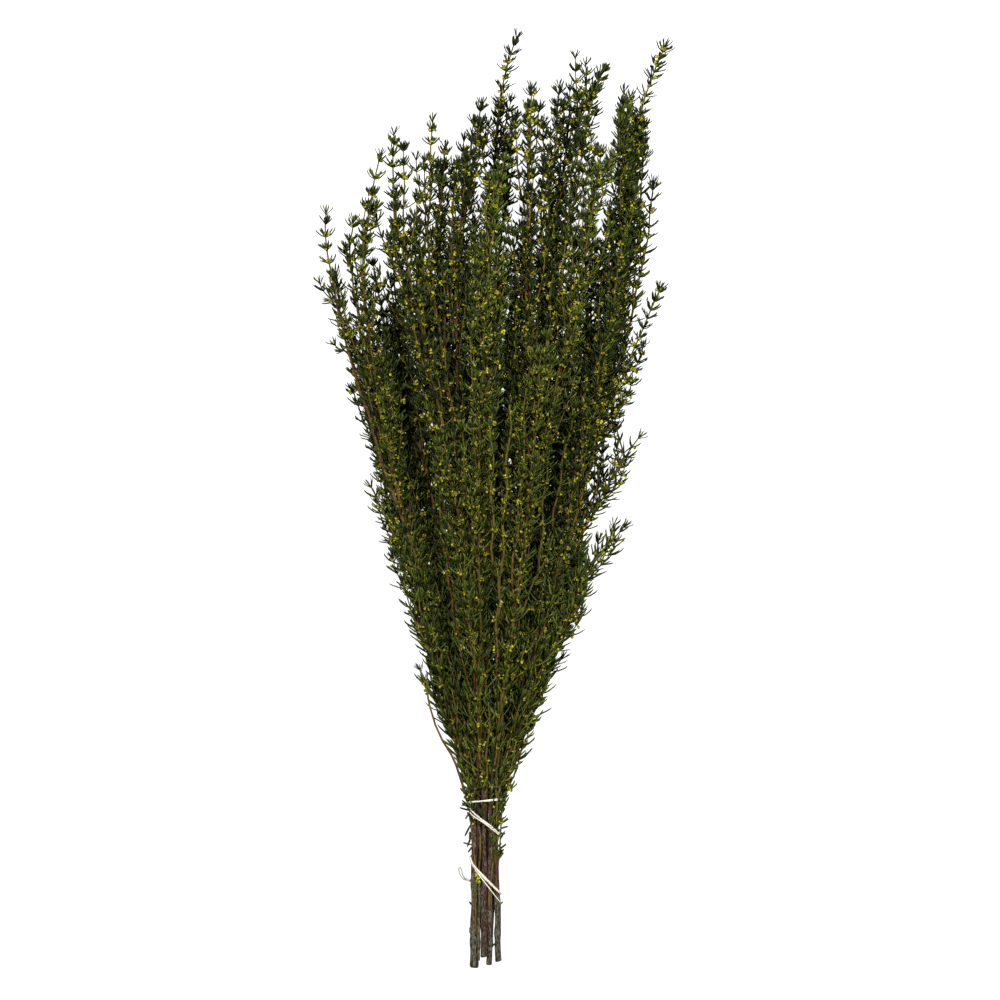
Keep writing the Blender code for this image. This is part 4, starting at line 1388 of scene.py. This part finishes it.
def lie_twig(growth, stems, radius, tone, corners):
    """A thin twig that follows the stems' surface."""
    across, along = np.array(corners).T
    points = []
    for y in np.arange(along[0], along[-1], LINE_STEP):
        point = lying_point(stems, float(np.interp(y, along, across)), min(y, TIGHT_Y), radius)
        point[1] = y
        point[2] += TIE_TWIG_RISE * max(0, y - TIGHT_Y)
        points.append(point)
    thin_twig(growth, softened(np.array(points)), radius, tone)


def add_tie_leaves(growths, stems):
    for root_x, root_y, tip_x, tip_y in TIE_LEAVES:
        heading = (tip_x - root_x, tip_y - root_y, 0.001)
        length = math.hypot(tip_x - root_x, tip_y - root_y)
        growth = side_growth(growths, root_x)
        lie_leaf(growth, stems, (root_x, root_y), heading, length)
    for low_y, high_y, left_x, right_x, count, lean in TIE_PATCHES:
        growth = side_growth(growths, left_x)
        chance = growth.chance
        for _ in range(count):
            root = (chance.uniform(left_x, right_x), chance.uniform(low_y, high_y))
            turn = lean + chance.gauss(0, PATCH_TURN)
            heading = (math.sin(turn), math.cos(turn), chance.uniform(*PATCH_RISES))
            lie_leaf(growth, stems, root, heading, chance.uniform(*TIE_LEAF_LENGTHS))


def add_inner_twigs(growths):
    for radius, x, height, low_y, high_y in INNER_TWIGS:
        heights = np.arange(low_y, high_y, LINE_STEP)
        sway = WOBBLE * np.sin(heights * TAU / WOBBLE_LENGTHS[1] + x * 1000)
        points = np.stack([x + sway, heights, np.full(len(heights), height)], axis=1)
        growth = side_growth(growths, x)
        thin_twig(growth, points, radius, growth.chance.random() / 2)


def add_tie_buds(growths, stems):
    for x, y, count in TIE_BUDS:
        growth = side_growth(growths, x)
        chance = growth.chance
        for _ in range(count):
            aside, ahead = chance.gauss(0, TIE_BUD_SPREAD / 2), chance.gauss(0, TIE_BUD_SPREAD)
            start = lying_point(stems, x + aside, y + ahead, BUD_WIDTH / 4)
            heading = (chance.uniform(*TIE_BUD_ASIDES), chance.uniform(*TIE_BUD_AHEAD), TIE_BUD_RISE)
            size = (BUD_LENGTH * TIE_BUD_SIZES[0], BUD_WIDTH * TIE_BUD_SIZES[1])
            growth.buds.append((*start, *unit(np.array(heading)), *size, chance.uniform(*TIE_BUD_TONES)))


def add_tendril(growth, stem):
    curl = np.array(TENDRIL)
    curl[:, 2] += stem.centre(curl[0, 1])[1]
    points = read(np.linspace(0, 1, 13), np.linspace(0, 1, len(curl)), curl)
    thin_twig(growth, softened(points), TENDRIL_RADIUS, 1.0)


def grow_by_the_tie(growths, stems):
    """Leaves, thin twigs, buds and a dried tendril on the stems by the tie."""
    add_tie_leaves(growths, stems)
    for radius, tone, corners in TIE_TWIGS:
        lie_twig(side_growth(growths, corners[0][0]), stems, radius, tone, corners)
    add_inner_twigs(growths)
    add_tie_buds(growths, stems)
    add_tendril(growths["left"], next(stem for stem in stems if stem.name == "left_1"))


def knot_shape(lengths, place):
    return np.exp(-(((lengths - place) / KNOT_LENGTH) ** 2))[:, None]


def wood_shape(name, line, lengths, turns, roots):
    """How far the bark stands out all over a stem, as a share of its radius."""
    chance = random.Random(name)
    end = lengths[-1]
    shape = np.ones((len(lengths), len(turns)))
    for _ in range(WOOD_RIDGE_SETS):
        waves, twist = chance.randint(*RIDGE_WAVES), chance.uniform(-RIDGE_TWIST, RIDGE_TWIST)
        phase = chance.uniform(0, TAU)
        shape += WOOD_RIDGES / 2 * np.sin(waves * turns[None] + twist * lengths[:, None] + phase)
    for length in WOOD_SWAY_LENGTHS:
        shape += WOOD_UNEVEN / 2 * np.sin(TAU * lengths / length + chance.uniform(0, TAU))[:, None]
    knots = [(line.length_at(y), turn) for y, turn in roots]
    knots += [(chance.uniform(0, end), chance.uniform(0, TAU)) for _ in range(round(end / KNOT_STEP))]
    for place, turn in knots:
        facing = np.clip(np.cos(turns - turn), 0, 1)[None] ** 2
        shape += KNOT_RISE * chance.uniform(*KNOT_SIZES) * knot_shape(lengths, place) * facing
    for y in RING_KNOTS.get(name, ()):
        around = 1 + RING_KNOT_UNEVEN * np.cos(turns - chance.uniform(0, TAU))
        shape += RING_KNOT_RISE * knot_shape(lengths, line.length_at(y)) * around[None]
    shape += CUT_SWELLS.get(name, CUT_SWELL) * np.exp(-lengths / CUT_SWELL_LENGTH)[:, None]
    wear = np.clip(1 - lengths / CUT_ROUNDS.get(name, CUT_ROUND), 0, 1)
    return shape * np.sqrt(1 - CUT_WEAR * wear**2)[:, None]


def wood_rings(name, strand, line, lengths, roots):
    """The middles and the rings of points of a stem's bark."""
    chance = random.Random(name)
    cuts = len(CUT_RINGS)
    places = line.at(lengths)
    directions = line.direction(lengths)
    directions[:cuts] = (0, 1, 0)
    level, up = sides_of(directions)
    radii = strand.reach_at(places[:, 1]) * np.interp(places[:, 1], SLIM_Y, (1, WOOD_SLIMS.get(name, 1)))
    for length in WOOD_SWAY_LENGTHS:
        sway = WOOD_SWAY * np.sin(TAU * lengths / length + chance.uniform(0, TAU))
        places = places + level * sway[:, None]
    aside = eased((SHIFT_TOP - places[:, 1]) / (SHIFT_TOP - places[0, 1]))
    places[:, 0] += CUT_SHIFTS.get(name, 0) * aside
    shape = wood_shape(name, line, lengths, turns_round(WOOD_SIDES), roots)
    rings = places[:, None] + circles(level, up, WOOD_SIDES) * (radii[:, None] * shape)[..., None]
    slant = chance.uniform(-CUT_SLANT, CUT_SLANT)
    rings[:cuts, :, 1] += slant * (rings[:cuts, :, 0] - places[:cuts, :1])
    rings[..., 2] = np.maximum(rings[..., 2], SEAT_GAP / 2)
    return places, rings


def wood_piece(name, strand, line, wood_top, material, roots):
    """A cut stem with ridged bark, knots where sprays leave it, and a bare cut face."""
    end = line.length_at(wood_top + WOOD_OVERLAP)
    lengths = np.concatenate([CUT_RINGS, np.linspace(WOOD_STEP, end, round(end / WOOD_STEP))])
    places, rings = wood_rings(name, strand, line, lengths, roots)
    # Bark tone by height: redness near the cut and in the tie, then painted shade where the leaves hide the
    # wood
    redness_and_shade = (REDNESS.get(name, USUAL_REDNESS), TIE_REDNESS, TIE_REDNESS, LEAF_SHADE_TONE)
    tones = np.repeat(np.interp(places[:, 1], SLIM_Y + LEAF_SHADE_Y, redness_and_shade), WOOD_SIDES)
    along = np.repeat(lengths / end, WOOD_SIDES)
    sheaf = Sheaf()
    sheaf.add(rings, strip_faces(len(rings), WOOD_SIDES), along=along, tone=tones, cut=np.zeros(len(along)))
    side = np.arange(WOOD_SIDES)
    after = (side + 1) % WOOD_SIDES
    hub = np.full(WOOD_SIDES, WOOD_SIDES)
    for ring, faces, along, cut in ((0, (after, side, hub), 0, 1), (-1, (side, after, hub), 1, 0)):
        face = np.vstack([rings[ring], rings[ring].mean(axis=0)])
        ones = np.ones(len(face))
        sheaf.add(face, np.stack(faces, axis=1), along=ones * along, tone=ones * 0, cut=ones * cut)
    return sheaf.piece(f"wood_{name}", material)


def upper_lift(half_turn, share):
    """How far the upper cord lies from the band's middle line, so far across a half turn."""
    lift = CORD_APART
    if half_turn == 0:
        lift *= between(CORD_CLOSING, share**2)
    if half_turn == 2:
        lift += SECOND_LIFT * math.sin(math.pi * max(0, share - 0.4) / 0.6)
    if half_turn == 4:
        lift += THIRD_LIFT * share
    if half_turn == 5:
        lift += THIRD_LIFT * (1 - share)
    return lift


def lower_lift(half_turn, share):
    """The same for the lower cord, which hangs loose in the second and the third turn."""
    lift = -CORD_APART
    if half_turn == 0:
        lift *= between(CORD_CLOSING, share**2)
    if half_turn == 1:
        lift -= SECOND_DROP * max(0, share - 0.5) / 0.5
    if half_turn == 2:
        lift -= SECOND_DROP * max(0, 1 - share / 0.35)
    if half_turn == 4:
        lift -= LOOSE_DROP * max(0, share - LOOSE_FROM) / (1 - LOOSE_FROM)
    if half_turn == 5:
        lift -= LOOSE_DROP * max(0, 1 - share * 1.3)
    return lift


def cord_route(stems, lift):
    """The middle line of one of the band's two cords, from the left side down to the free loop."""
    offset = SEAT_GAP + BAND_THICKNESS / 2
    route = []
    for half_turn, (start, end) in enumerate(zip(BAND_HEIGHTS, BAND_HEIGHTS[1:])):
        turns = math.pi * (1 - half_turn - np.linspace(0, 1, BAND_POINTS + 1))
        middle = (start + end) / 2
        across = np.array([hull_point(stems, middle, turn, offset)[0] for turn in turns])
        shares = np.clip((across - across[0]) / (across[-1] - across[0]), 0, 1)
        steep = CORD_STEEP if half_turn in (2, 4) else (0.5, 0.5)
        places = start + (end - start) * np.interp(shares, (0, steep[0], 1), (0, steep[1], 1))
        for y, turn, share in list(zip(places, turns, shares))[:-1]:
            point = hull_point(stems, y, turn, offset, middle)
            point[1] += lift(half_turn, share)
            route.append(point)
    last = hull_point(stems, BAND_HEIGHTS[-1], math.pi, offset)
    last[1] += lift(len(BAND_HEIGHTS) - 1, 0)
    return np.array([*route, last])


def free_loop(start, end):
    """The points of the loop that stands out, from the end of one cord to that of the other."""
    shares = np.linspace(0, 1, LOOP_POINTS + 1)[1:, None]
    tail, bow = np.array(BAND_TAIL), np.array(LOOP_BOW)
    out = start + tail * shares + bow * np.sin(math.pi * shares)
    back = end + (tail + LOOP_WIDTH) * shares[::-1] + bow * np.sin(math.pi * shares[::-1])
    crown = (out[-1] + back[0]) / 2 + np.array(LOOP_CROWN)
    return np.vstack([out, crown[None], back])


def smoothed(points):
    """Closed points eased twice towards their neighbours' middles."""
    for _ in range(2):
        points = points + (np.roll(points, 1, axis=0) + np.roll(points, -1, axis=0) - 2 * points) / 4
    return points


def tie_piece(stems, material):
    """An elastic loop drawn double round the stems, with its free end standing out at the left."""
    one, other = cord_route(stems, upper_lift), cord_route(stems, lower_lift)
    loop = free_loop(one[-1], other[-1])
    points = smoothed(np.vstack([one, loop, other[::-1]]))
    widths = (CORD_RADII[0], CORD_RADII[1] * LOOP_THICKNESS, CORD_RADII[1])
    radii = np.repeat(widths, [len(one), len(loop), len(other)])
    wide = np.arange(4 * BAND_POINTS, 5 * BAND_POINTS)
    radii[wide] *= np.interp(wide, (wide[0], wide[0] + 6, wide[-1]), (1, WIDE_CORD, WIDE_CORD * 0.8))
    directions = unit(np.roll(points, -1, axis=0) - np.roll(points, 1, axis=0))
    outward = points - points.mean(axis=0)
    outward[:, 1] = 0
    first = unit(np.cross(directions, unit(outward)))
    around = circles(first, CORD_FLATNESS * np.cross(first, directions), CORD_SIDES)
    rings = points[:, None] + around * radii[:, None, None]
    count = len(points)
    # Painted shade: the free loop's cord is drawn greyer than the rest of the band
    shaded_loop = np.zeros(count)
    shaded_loop[len(one) + 1 : len(one) + len(loop) - 1] = 1
    sheaf = Sheaf()
    faces = strip_faces(count + 1, CORD_SIDES) % (count * CORD_SIDES)
    along = np.repeat(np.arange(count) / count, CORD_SIDES)
    sheaf.add(rings, faces, along=along, tone=np.repeat(shaded_loop, CORD_SIDES))
    return sheaf.piece("tie_cords", material)


def set_sockets(node, values):
    for name, value in values.items():
        node.inputs[name].default_value = value


class Paint:
    """A procedural material, built node by node, in layers of colour."""

    def __init__(self, name, **values):
        self.material = bpy.data.materials.new(name)
        self.material.use_nodes = True
        self.tree = self.material.node_tree
        self.shader = self.tree.nodes["Principled BSDF"]
        set_sockets(self.shader, values)
        self.place = self.node("ShaderNodeTexCoord").outputs["Object"]
        self.body = None

    def node(self, kind, **settings):
        made = self.tree.nodes.new(kind)
        for name, value in settings.items():
            setattr(made, name, value)
        return made

    def link(self, source, target):
        self.tree.links.new(source, target)

    def attribute(self, name):
        return self.node("ShaderNodeAttribute", attribute_name=name).outputs["Fac"]

    def noise(self, scale, detail=3.0, stretch=(1, 1, 1)):
        mapping = self.node("ShaderNodeMapping")
        mapping.inputs["Scale"].default_value = stretch
        self.link(self.place, mapping.inputs["Vector"])
        noise = self.node("ShaderNodeTexNoise")
        set_sockets(noise, {"Scale": scale, "Detail": detail})
        self.link(mapping.outputs["Vector"], noise.inputs["Vector"])
        return noise.outputs["Fac"]

    def arithmetic(self, operation, *sources):
        made = self.node("ShaderNodeMath", operation=operation)
        for source, socket in zip(sources, made.inputs):
            self.feed(source, socket)
        return made.outputs[0]

    def feed(self, source, socket):
        """Link a node's output to a socket, or set the socket to a number or a colour."""
        if isinstance(source, bpy.types.NodeSocket):
            self.link(source, socket)
        else:
            socket.default_value = (*source, 1) if isinstance(source, tuple) else source

    def ramp(self, source, *stops):
        ramp = self.node("ShaderNodeValToRGB")
        while len(ramp.color_ramp.elements) < len(stops):
            ramp.color_ramp.elements.new(0.5)
        for element, (position, colour) in zip(ramp.color_ramp.elements, stops):
            element.position = position
            element.color = (*colour, 1)
        self.link(source, ramp.inputs["Fac"])
        return ramp.outputs["Color"]

    def mix(self, share, one, other):
        mix = self.node("ShaderNodeMix", data_type="RGBA", blend_type="MIX")
        for source, socket in ((share, mix.inputs[0]), (one, mix.inputs[6]), (other, mix.inputs[7])):
            self.feed(source, socket)
        return mix.outputs[2]

    def range(self, source, low, high, to_low=0.0, to_high=1.0):
        made = self.node("ShaderNodeMapRange")
        set_sockets(made, {"From Min": low, "From Max": high, "To Min": to_low, "To Max": to_high})
        self.link(source, made.inputs["Value"])
        return made.outputs["Result"]

    def layer(self, colour, source, *limits):
        """Lay a colour over those before it, as far as a source within its limits says."""
        self.body = self.mix(self.range(source, *limits), self.body, colour)

    def finish(self, relief, strength, distance, wear, low, high):
        """Link the layers, the relief and the roughness to the shader."""
        self.link(self.body, self.shader.inputs["Base Color"])
        bump = self.node("ShaderNodeBump")
        set_sockets(bump, {"Strength": strength, "Distance": distance})
        self.link(relief, bump.inputs["Height"])
        self.link(bump.outputs["Normal"], self.shader.inputs["Normal"])
        self.link(self.range(wear, 0, 1, low, high), self.shader.inputs["Roughness"])
        return self.material


def leaf_paint():
    paint = Paint("leaf_green", **{"Specular IOR Level": 0.06})
    tone, along = paint.attribute("tone"), paint.attribute("along")
    patches = paint.noise(260, 2.0)
    paint.body = paint.ramp(
        tone,
        (0.0, (0.018, 0.026, 0.008)),
        (0.45, (0.046, 0.068, 0.009)),
        (0.8, (0.122, 0.156, 0.014)),
        (1.0, (0.195, 0.210, 0.024)),
    )
    dull = paint.ramp(tone, (0.0, (0.020, 0.028, 0.013)), (1.0, (0.096, 0.132, 0.028)))
    paint.layer(dull, patches, 0.35, 0.7)
    paint.layer((0.13, 0.14, 0.022), along, 0.0, 0.35, 0.55, 0.0)
    paint.layer((0.028, 0.020, 0.009), along, 0.86, 1.0, 0.0, 0.5)
    return paint.finish(paint.noise(2400, 2.0, (1, 0.3, 1)), 0.35, 0.0002, patches, 0.42, 0.62)


def bud_paint():
    paint = Paint("bud_yellow", **{"Specular IOR Level": 0.2})
    tone, along = paint.attribute("tone"), paint.attribute("along")
    paint.body = paint.ramp(
        tone,
        (0.0, (0.24, 0.30, 0.014)),
        (0.4, (0.40, 0.45, 0.020)),
        (0.8, (0.62, 0.62, 0.034)),
        (1.0, (0.50, 0.38, 0.04)),
    )
    paint.layer((0.12, 0.09, 0.02), paint.noise(900, 2.0), 0.52, 0.64, 0.0, 0.45)
    paint.layer((0.07, 0.10, 0.015), along, 0.0, 0.3, 0.7, 0.0)
    paint.layer((0.050, 0.008, 0.010), along, 0.64, 0.76, 0.0, 0.95)
    return paint.finish(paint.noise(1800, 2.0), 0.4, 0.0003, tone, 0.45, 0.6)


def twig_paint():
    paint = Paint("twig_brown", **{"Specular IOR Level": 0.2})
    streaks = paint.noise(900, 3.0, (1, 0.12, 1))
    paint.body = paint.ramp(
        paint.attribute("tone"),
        (0.0, (0.140, 0.058, 0.016)),
        (0.5, (0.180, 0.098, 0.017)),
        (1.0, (0.155, 0.118, 0.017)),
    )
    paint.layer((0.050, 0.030, 0.013), streaks, 0.4, 0.65)
    paint.layer((0.100, 0.108, 0.012), paint.attribute("along"), 0.45, 1.0, 0.0, 0.85)
    return paint.finish(streaks, 0.5, 0.0003, streaks, 0.5, 0.75)


def bark_paint():
    """Grey bark with red patches, lichen and cracks, browner towards the sprays, painted shade where the
    leaves hide it, and pale wood at the cut.
    """
    paint = Paint("bark_grey", **{"Specular IOR Level": 0.15})
    tone = paint.attribute("tone")
    fibres = paint.noise(1000, 5.0, (1, 0.42, 1))
    patches = paint.noise(110, 3.0, (1, 0.5, 1))
    lichen = paint.noise(360, 4.0, (1, 0.6, 1))
    cracks = paint.noise(1100, 3.0, (1, 0.16, 1))
    greys = (0.028, 0.025, 0.014), (0.092, 0.086, 0.053), (0.200, 0.190, 0.135)
    reds = (0.026, 0.012, 0.008), (0.085, 0.046, 0.031), (0.165, 0.105, 0.075)
    paint.body = paint.ramp(fibres, *zip((0.36, 0.50, 0.64), greys))
    red = paint.ramp(fibres, *zip((0.36, 0.50, 0.64), reds))
    paint.layer(red, paint.arithmetic("MULTIPLY_ADD", patches, 1.6, tone), 1.20, 1.45)
    paint.layer((0.120, 0.135, 0.062), lichen, 0.57, 0.66, 0.0, 0.7)
    paint.layer((0.012, 0.009, 0.006), cracks, 0.38, 0.48, 0.85, 0.0)
    # Painted shade on the wood that the leaves hide
    paint.layer((0.020, 0.014, 0.007), tone, TIE_REDNESS, LEAF_SHADE_TONE, 0.0, 0.8)
    brown = paint.ramp(fibres, (0.38, (0.07, 0.038, 0.016)), (0.62, (0.20, 0.115, 0.038)))
    paint.layer(brown, paint.attribute("along"), 0.30, 0.80, 0.0, 0.8)
    wood = paint.ramp(paint.noise(1400, 2.0), (0.3, (0.20, 0.13, 0.075)), (0.7, (0.38, 0.28, 0.18)))
    paint.body = paint.mix(paint.attribute("cut"), paint.body, wood)
    return paint.finish(cracks, 0.9, 0.0008, patches, 0.65, 0.85)


def elastic_paint():
    paint = Paint("elastic_cream", **{"Specular IOR Level": 0.35})
    turns = paint.arithmetic("MULTIPLY", paint.attribute("along"), CORD_RIBS)
    ribs = paint.arithmetic("SINE", turns)
    wear = paint.noise(500, 3.0)
    paint.body = paint.ramp(wear, (0.40, (0.80, 0.70, 0.52)), (0.55, (0.93, 0.89, 0.80)))
    paint.layer((0.55, 0.45, 0.30), ribs, -1, 1, 0.0, 0.12)
    # Painted shade: the free loop greyer than the rest of the band
    paint.layer((0.36, 0.37, 0.31), paint.attribute("tone"), 0, 1, 0.0, 0.8)
    return paint.finish(ribs, 0.4, 0.0002, wear, 0.6, 0.8)


def ground_paint(name, shades, **values):
    """A plain pale or grey surface, a little uneven."""
    paint = Paint(name, **{"Roughness": 0.9, "Specular IOR Level": 0.0, **values})
    shade = paint.ramp(paint.noise(3, 2.0), *zip((0.0, 1.0), ((grey,) * 3 for grey in shades)))
    paint.link(shade, paint.shader.inputs["Base Color"])
    return paint.material


def make_camera():
    data = bpy.data.cameras.new("camera")
    data.sensor_width = SENSOR_MM
    data.lens = SENSOR_MM * CAMERA_DISTANCE / (PIXEL * FRAME_PIXELS)
    data.clip_end = 100
    camera = add_object("camera", data)
    camera.location = (CENTRE_X, CENTRE_Y, MID_HEIGHT + CAMERA_DISTANCE)
    bpy.context.scene.camera = camera


def make_light(name, place, power):
    data = bpy.data.lights.new(name, "AREA")
    data.shape = "DISK"
    data.size = KEY_SIZE
    data.energy = power
    light = add_object(name, data)
    light.location = place
    light.rotation_mode = "QUATERNION"
    light.rotation_quaternion = (-Vector(place)).to_track_quat("-Z", "Y")


def make_plane(name, height, material):
    mesh = bpy.data.meshes.new(name)
    corners = [(-1, -1), (1, -1), (1, 1), (-1, 1)]
    mesh.from_pydata([(x * FLOOR_HALF, y * FLOOR_HALF, height) for x, y in corners], [], [(0, 1, 2, 3)])
    mesh.materials.append(material)
    plane = add_object(name, mesh)
    return plane


def make_surroundings():
    """A white floor that glows, so that it stays pale under the bunch, and soft light from above.

    The floor sends no light to the bunch. The darker ground right under it does that instead.
    """
    world = bpy.data.worlds.new("studio")
    world.use_nodes = True
    set_sockets(world.node_tree.nodes["Background"], {"Color": (1, 1, 1, 1), "Strength": SKY_STRENGTH})
    bpy.context.scene.world = world
    for name, (place, power) in KEYS.items():
        make_light(name, place, power)
    glow = {"Emission Strength": FLOOR_GLOW, "Emission Color": (1, 1, 1, 1)}
    floor = make_plane("floor", FLOOR_Z, ground_paint("floor_white", (0.24, 0.26), **glow))
    floor.visible_diffuse = False
    floor.visible_glossy = False
    ground = make_plane("ground", GROUND_Z, ground_paint("ground_grey", (0.10, 0.12)))
    ground.visible_camera = False
    bpy.context.scene.view_settings.view_transform = "Standard"


def spray_start(growth, strand, line, wood_top, chance):
    """The line that a spray's leaves grow on, the length that is bare, and the shoots on its wood."""
    if strand.parent is not None:
        away = strand.centres[0] - strand.parent.centre(strand.heights[0])
        if strand.heights[0] < wood_top:
            growth.roots.append((strand.heights[0], math.atan2(away[1], away[0])))
        return line, BARE_SHARES.get(strand.name, SHOOT_FROM) * line.length, []
    first, last = line.length_at(WOOD_SHOOTS_FROM), line.length_at(wood_top)
    shoots = side_lines(line, first, last, True, SIMPLE_TIP, False, chance)
    start = line.length_at(wood_top - LEADER_OVERLAP)
    line = Line(line.at(np.linspace(start, line.length, round((line.length - start) / LINE_STEP))))
    bare = line.length_at(BARE_UNTIL[strand.name]) if strand.name in BARE_UNTIL else LEADER_BARE
    return line, bare, shoots


def grow_spray(growth, strand, line, wood_top, is_plain):
    """The twigs, leaves and buds of one spray."""
    chance = growth.chance
    name = strand.name
    line, bare, shoots = spray_start(growth, strand, line, wood_top, chance)
    tone = SPRAY_TONES.get(name, chance.uniform(*USUAL_TONES)) * (DEEP_SHADE if is_plain else 1)
    manner = Manner(tone, 1, is_plain, NODE_SHARES.get(name, NODE_SHARES[stem_of(name)]))
    twig_tone = chance.random()
    tube(growth.twigs, line, twig_radii(line), TWIG_SIDES, twig_tone)
    growth.dress(line, bare, manner._replace(tufts=SPRAY_TUFTS))
    simple = SIMPLE_TIPS.get(name, SIMPLE_TIP)
    shoots += side_lines(line, bare, line.length - simple, False, simple, name in FREE_SPRAYS, chance)
    for spray, *place in SHOWN_SHOOTS:
        if spray == name:
            shoots.append(shown_line(line, *place, chance))
    for side in shoots:
        side_tone = manner.tone + chance.uniform(-SIDE_TONE, SIDE_TONE)
        growth.add_shoot(side, manner._replace(tone=side_tone), twig_tone)


def grow_stem(stem, strands, lines):
    """All that grows on one stem."""
    growth = Growth(random.Random(stem))
    _, _, _, wood_top, sprays = STEMS[stem]
    own = [strand for strand in strands if stem_of(strand.name) == stem]
    for strand, spray in zip(own, sprays):
        grow_spray(growth, strand, lines[strand.name], wood_top, spray[3] < PLAIN_DEPTH)
    return growth


def make_pieces(stem, growth, main, line, paints):
    """One stem's leaves, buds, twigs and wood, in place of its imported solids."""
    _, _, _, wood_top, sprays = STEMS[stem]
    leaves, buds = growth.sheaves()
    spray_nodes = [f"spray_{stem}_{number}" for number in range(1, len(sprays) + 1)]
    for kind, sheaf in (("leaves", leaves), ("buds", buds), ("twigs", growth.twigs)):
        piece = sheaf.piece(f"{kind}_{stem}", paints[kind])
        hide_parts(*spray_nodes)
    wood = wood_piece(stem, main, line, wood_top, paints["bark"], growth.roots)
    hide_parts(f"stem_{stem}")


make_camera()
make_surroundings()
strands = make_strands()
lines = {strand.name: strand_line(strand, random.Random(strand.name)) for strand in strands}
growths = {stem: grow_stem(stem, strands, lines) for stem in STEMS}
for tip_x, tip_y in EDGE_TIPS:
    add_reaching_shoot(growths, lines, tip_x, tip_y, False, growths["left"].chance)
fill_thin_places(growths, lines, False, FEW_FULL_LEAVES, random.Random("thin edges"))
fill_thin_places(growths, lines, True, FEW_LEAVES, random.Random("thin places"))
add_shown_twigs(growths, lines, random.Random("shown twigs"))
add_bare_twig(growths["left"])
stems = [strand for strand in strands if strand.parent is None]
grow_by_the_tie(growths, stems)
paints = {"leaves": leaf_paint(), "buds": bud_paint(), "twigs": twig_paint(), "bark": bark_paint()}
for main in stems:
    stem = stem_of(main.name)
    make_pieces(stem, growths[stem], main, lines[main.name], paints)
band = tie_piece(stems, elastic_paint())
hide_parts("tie_band")
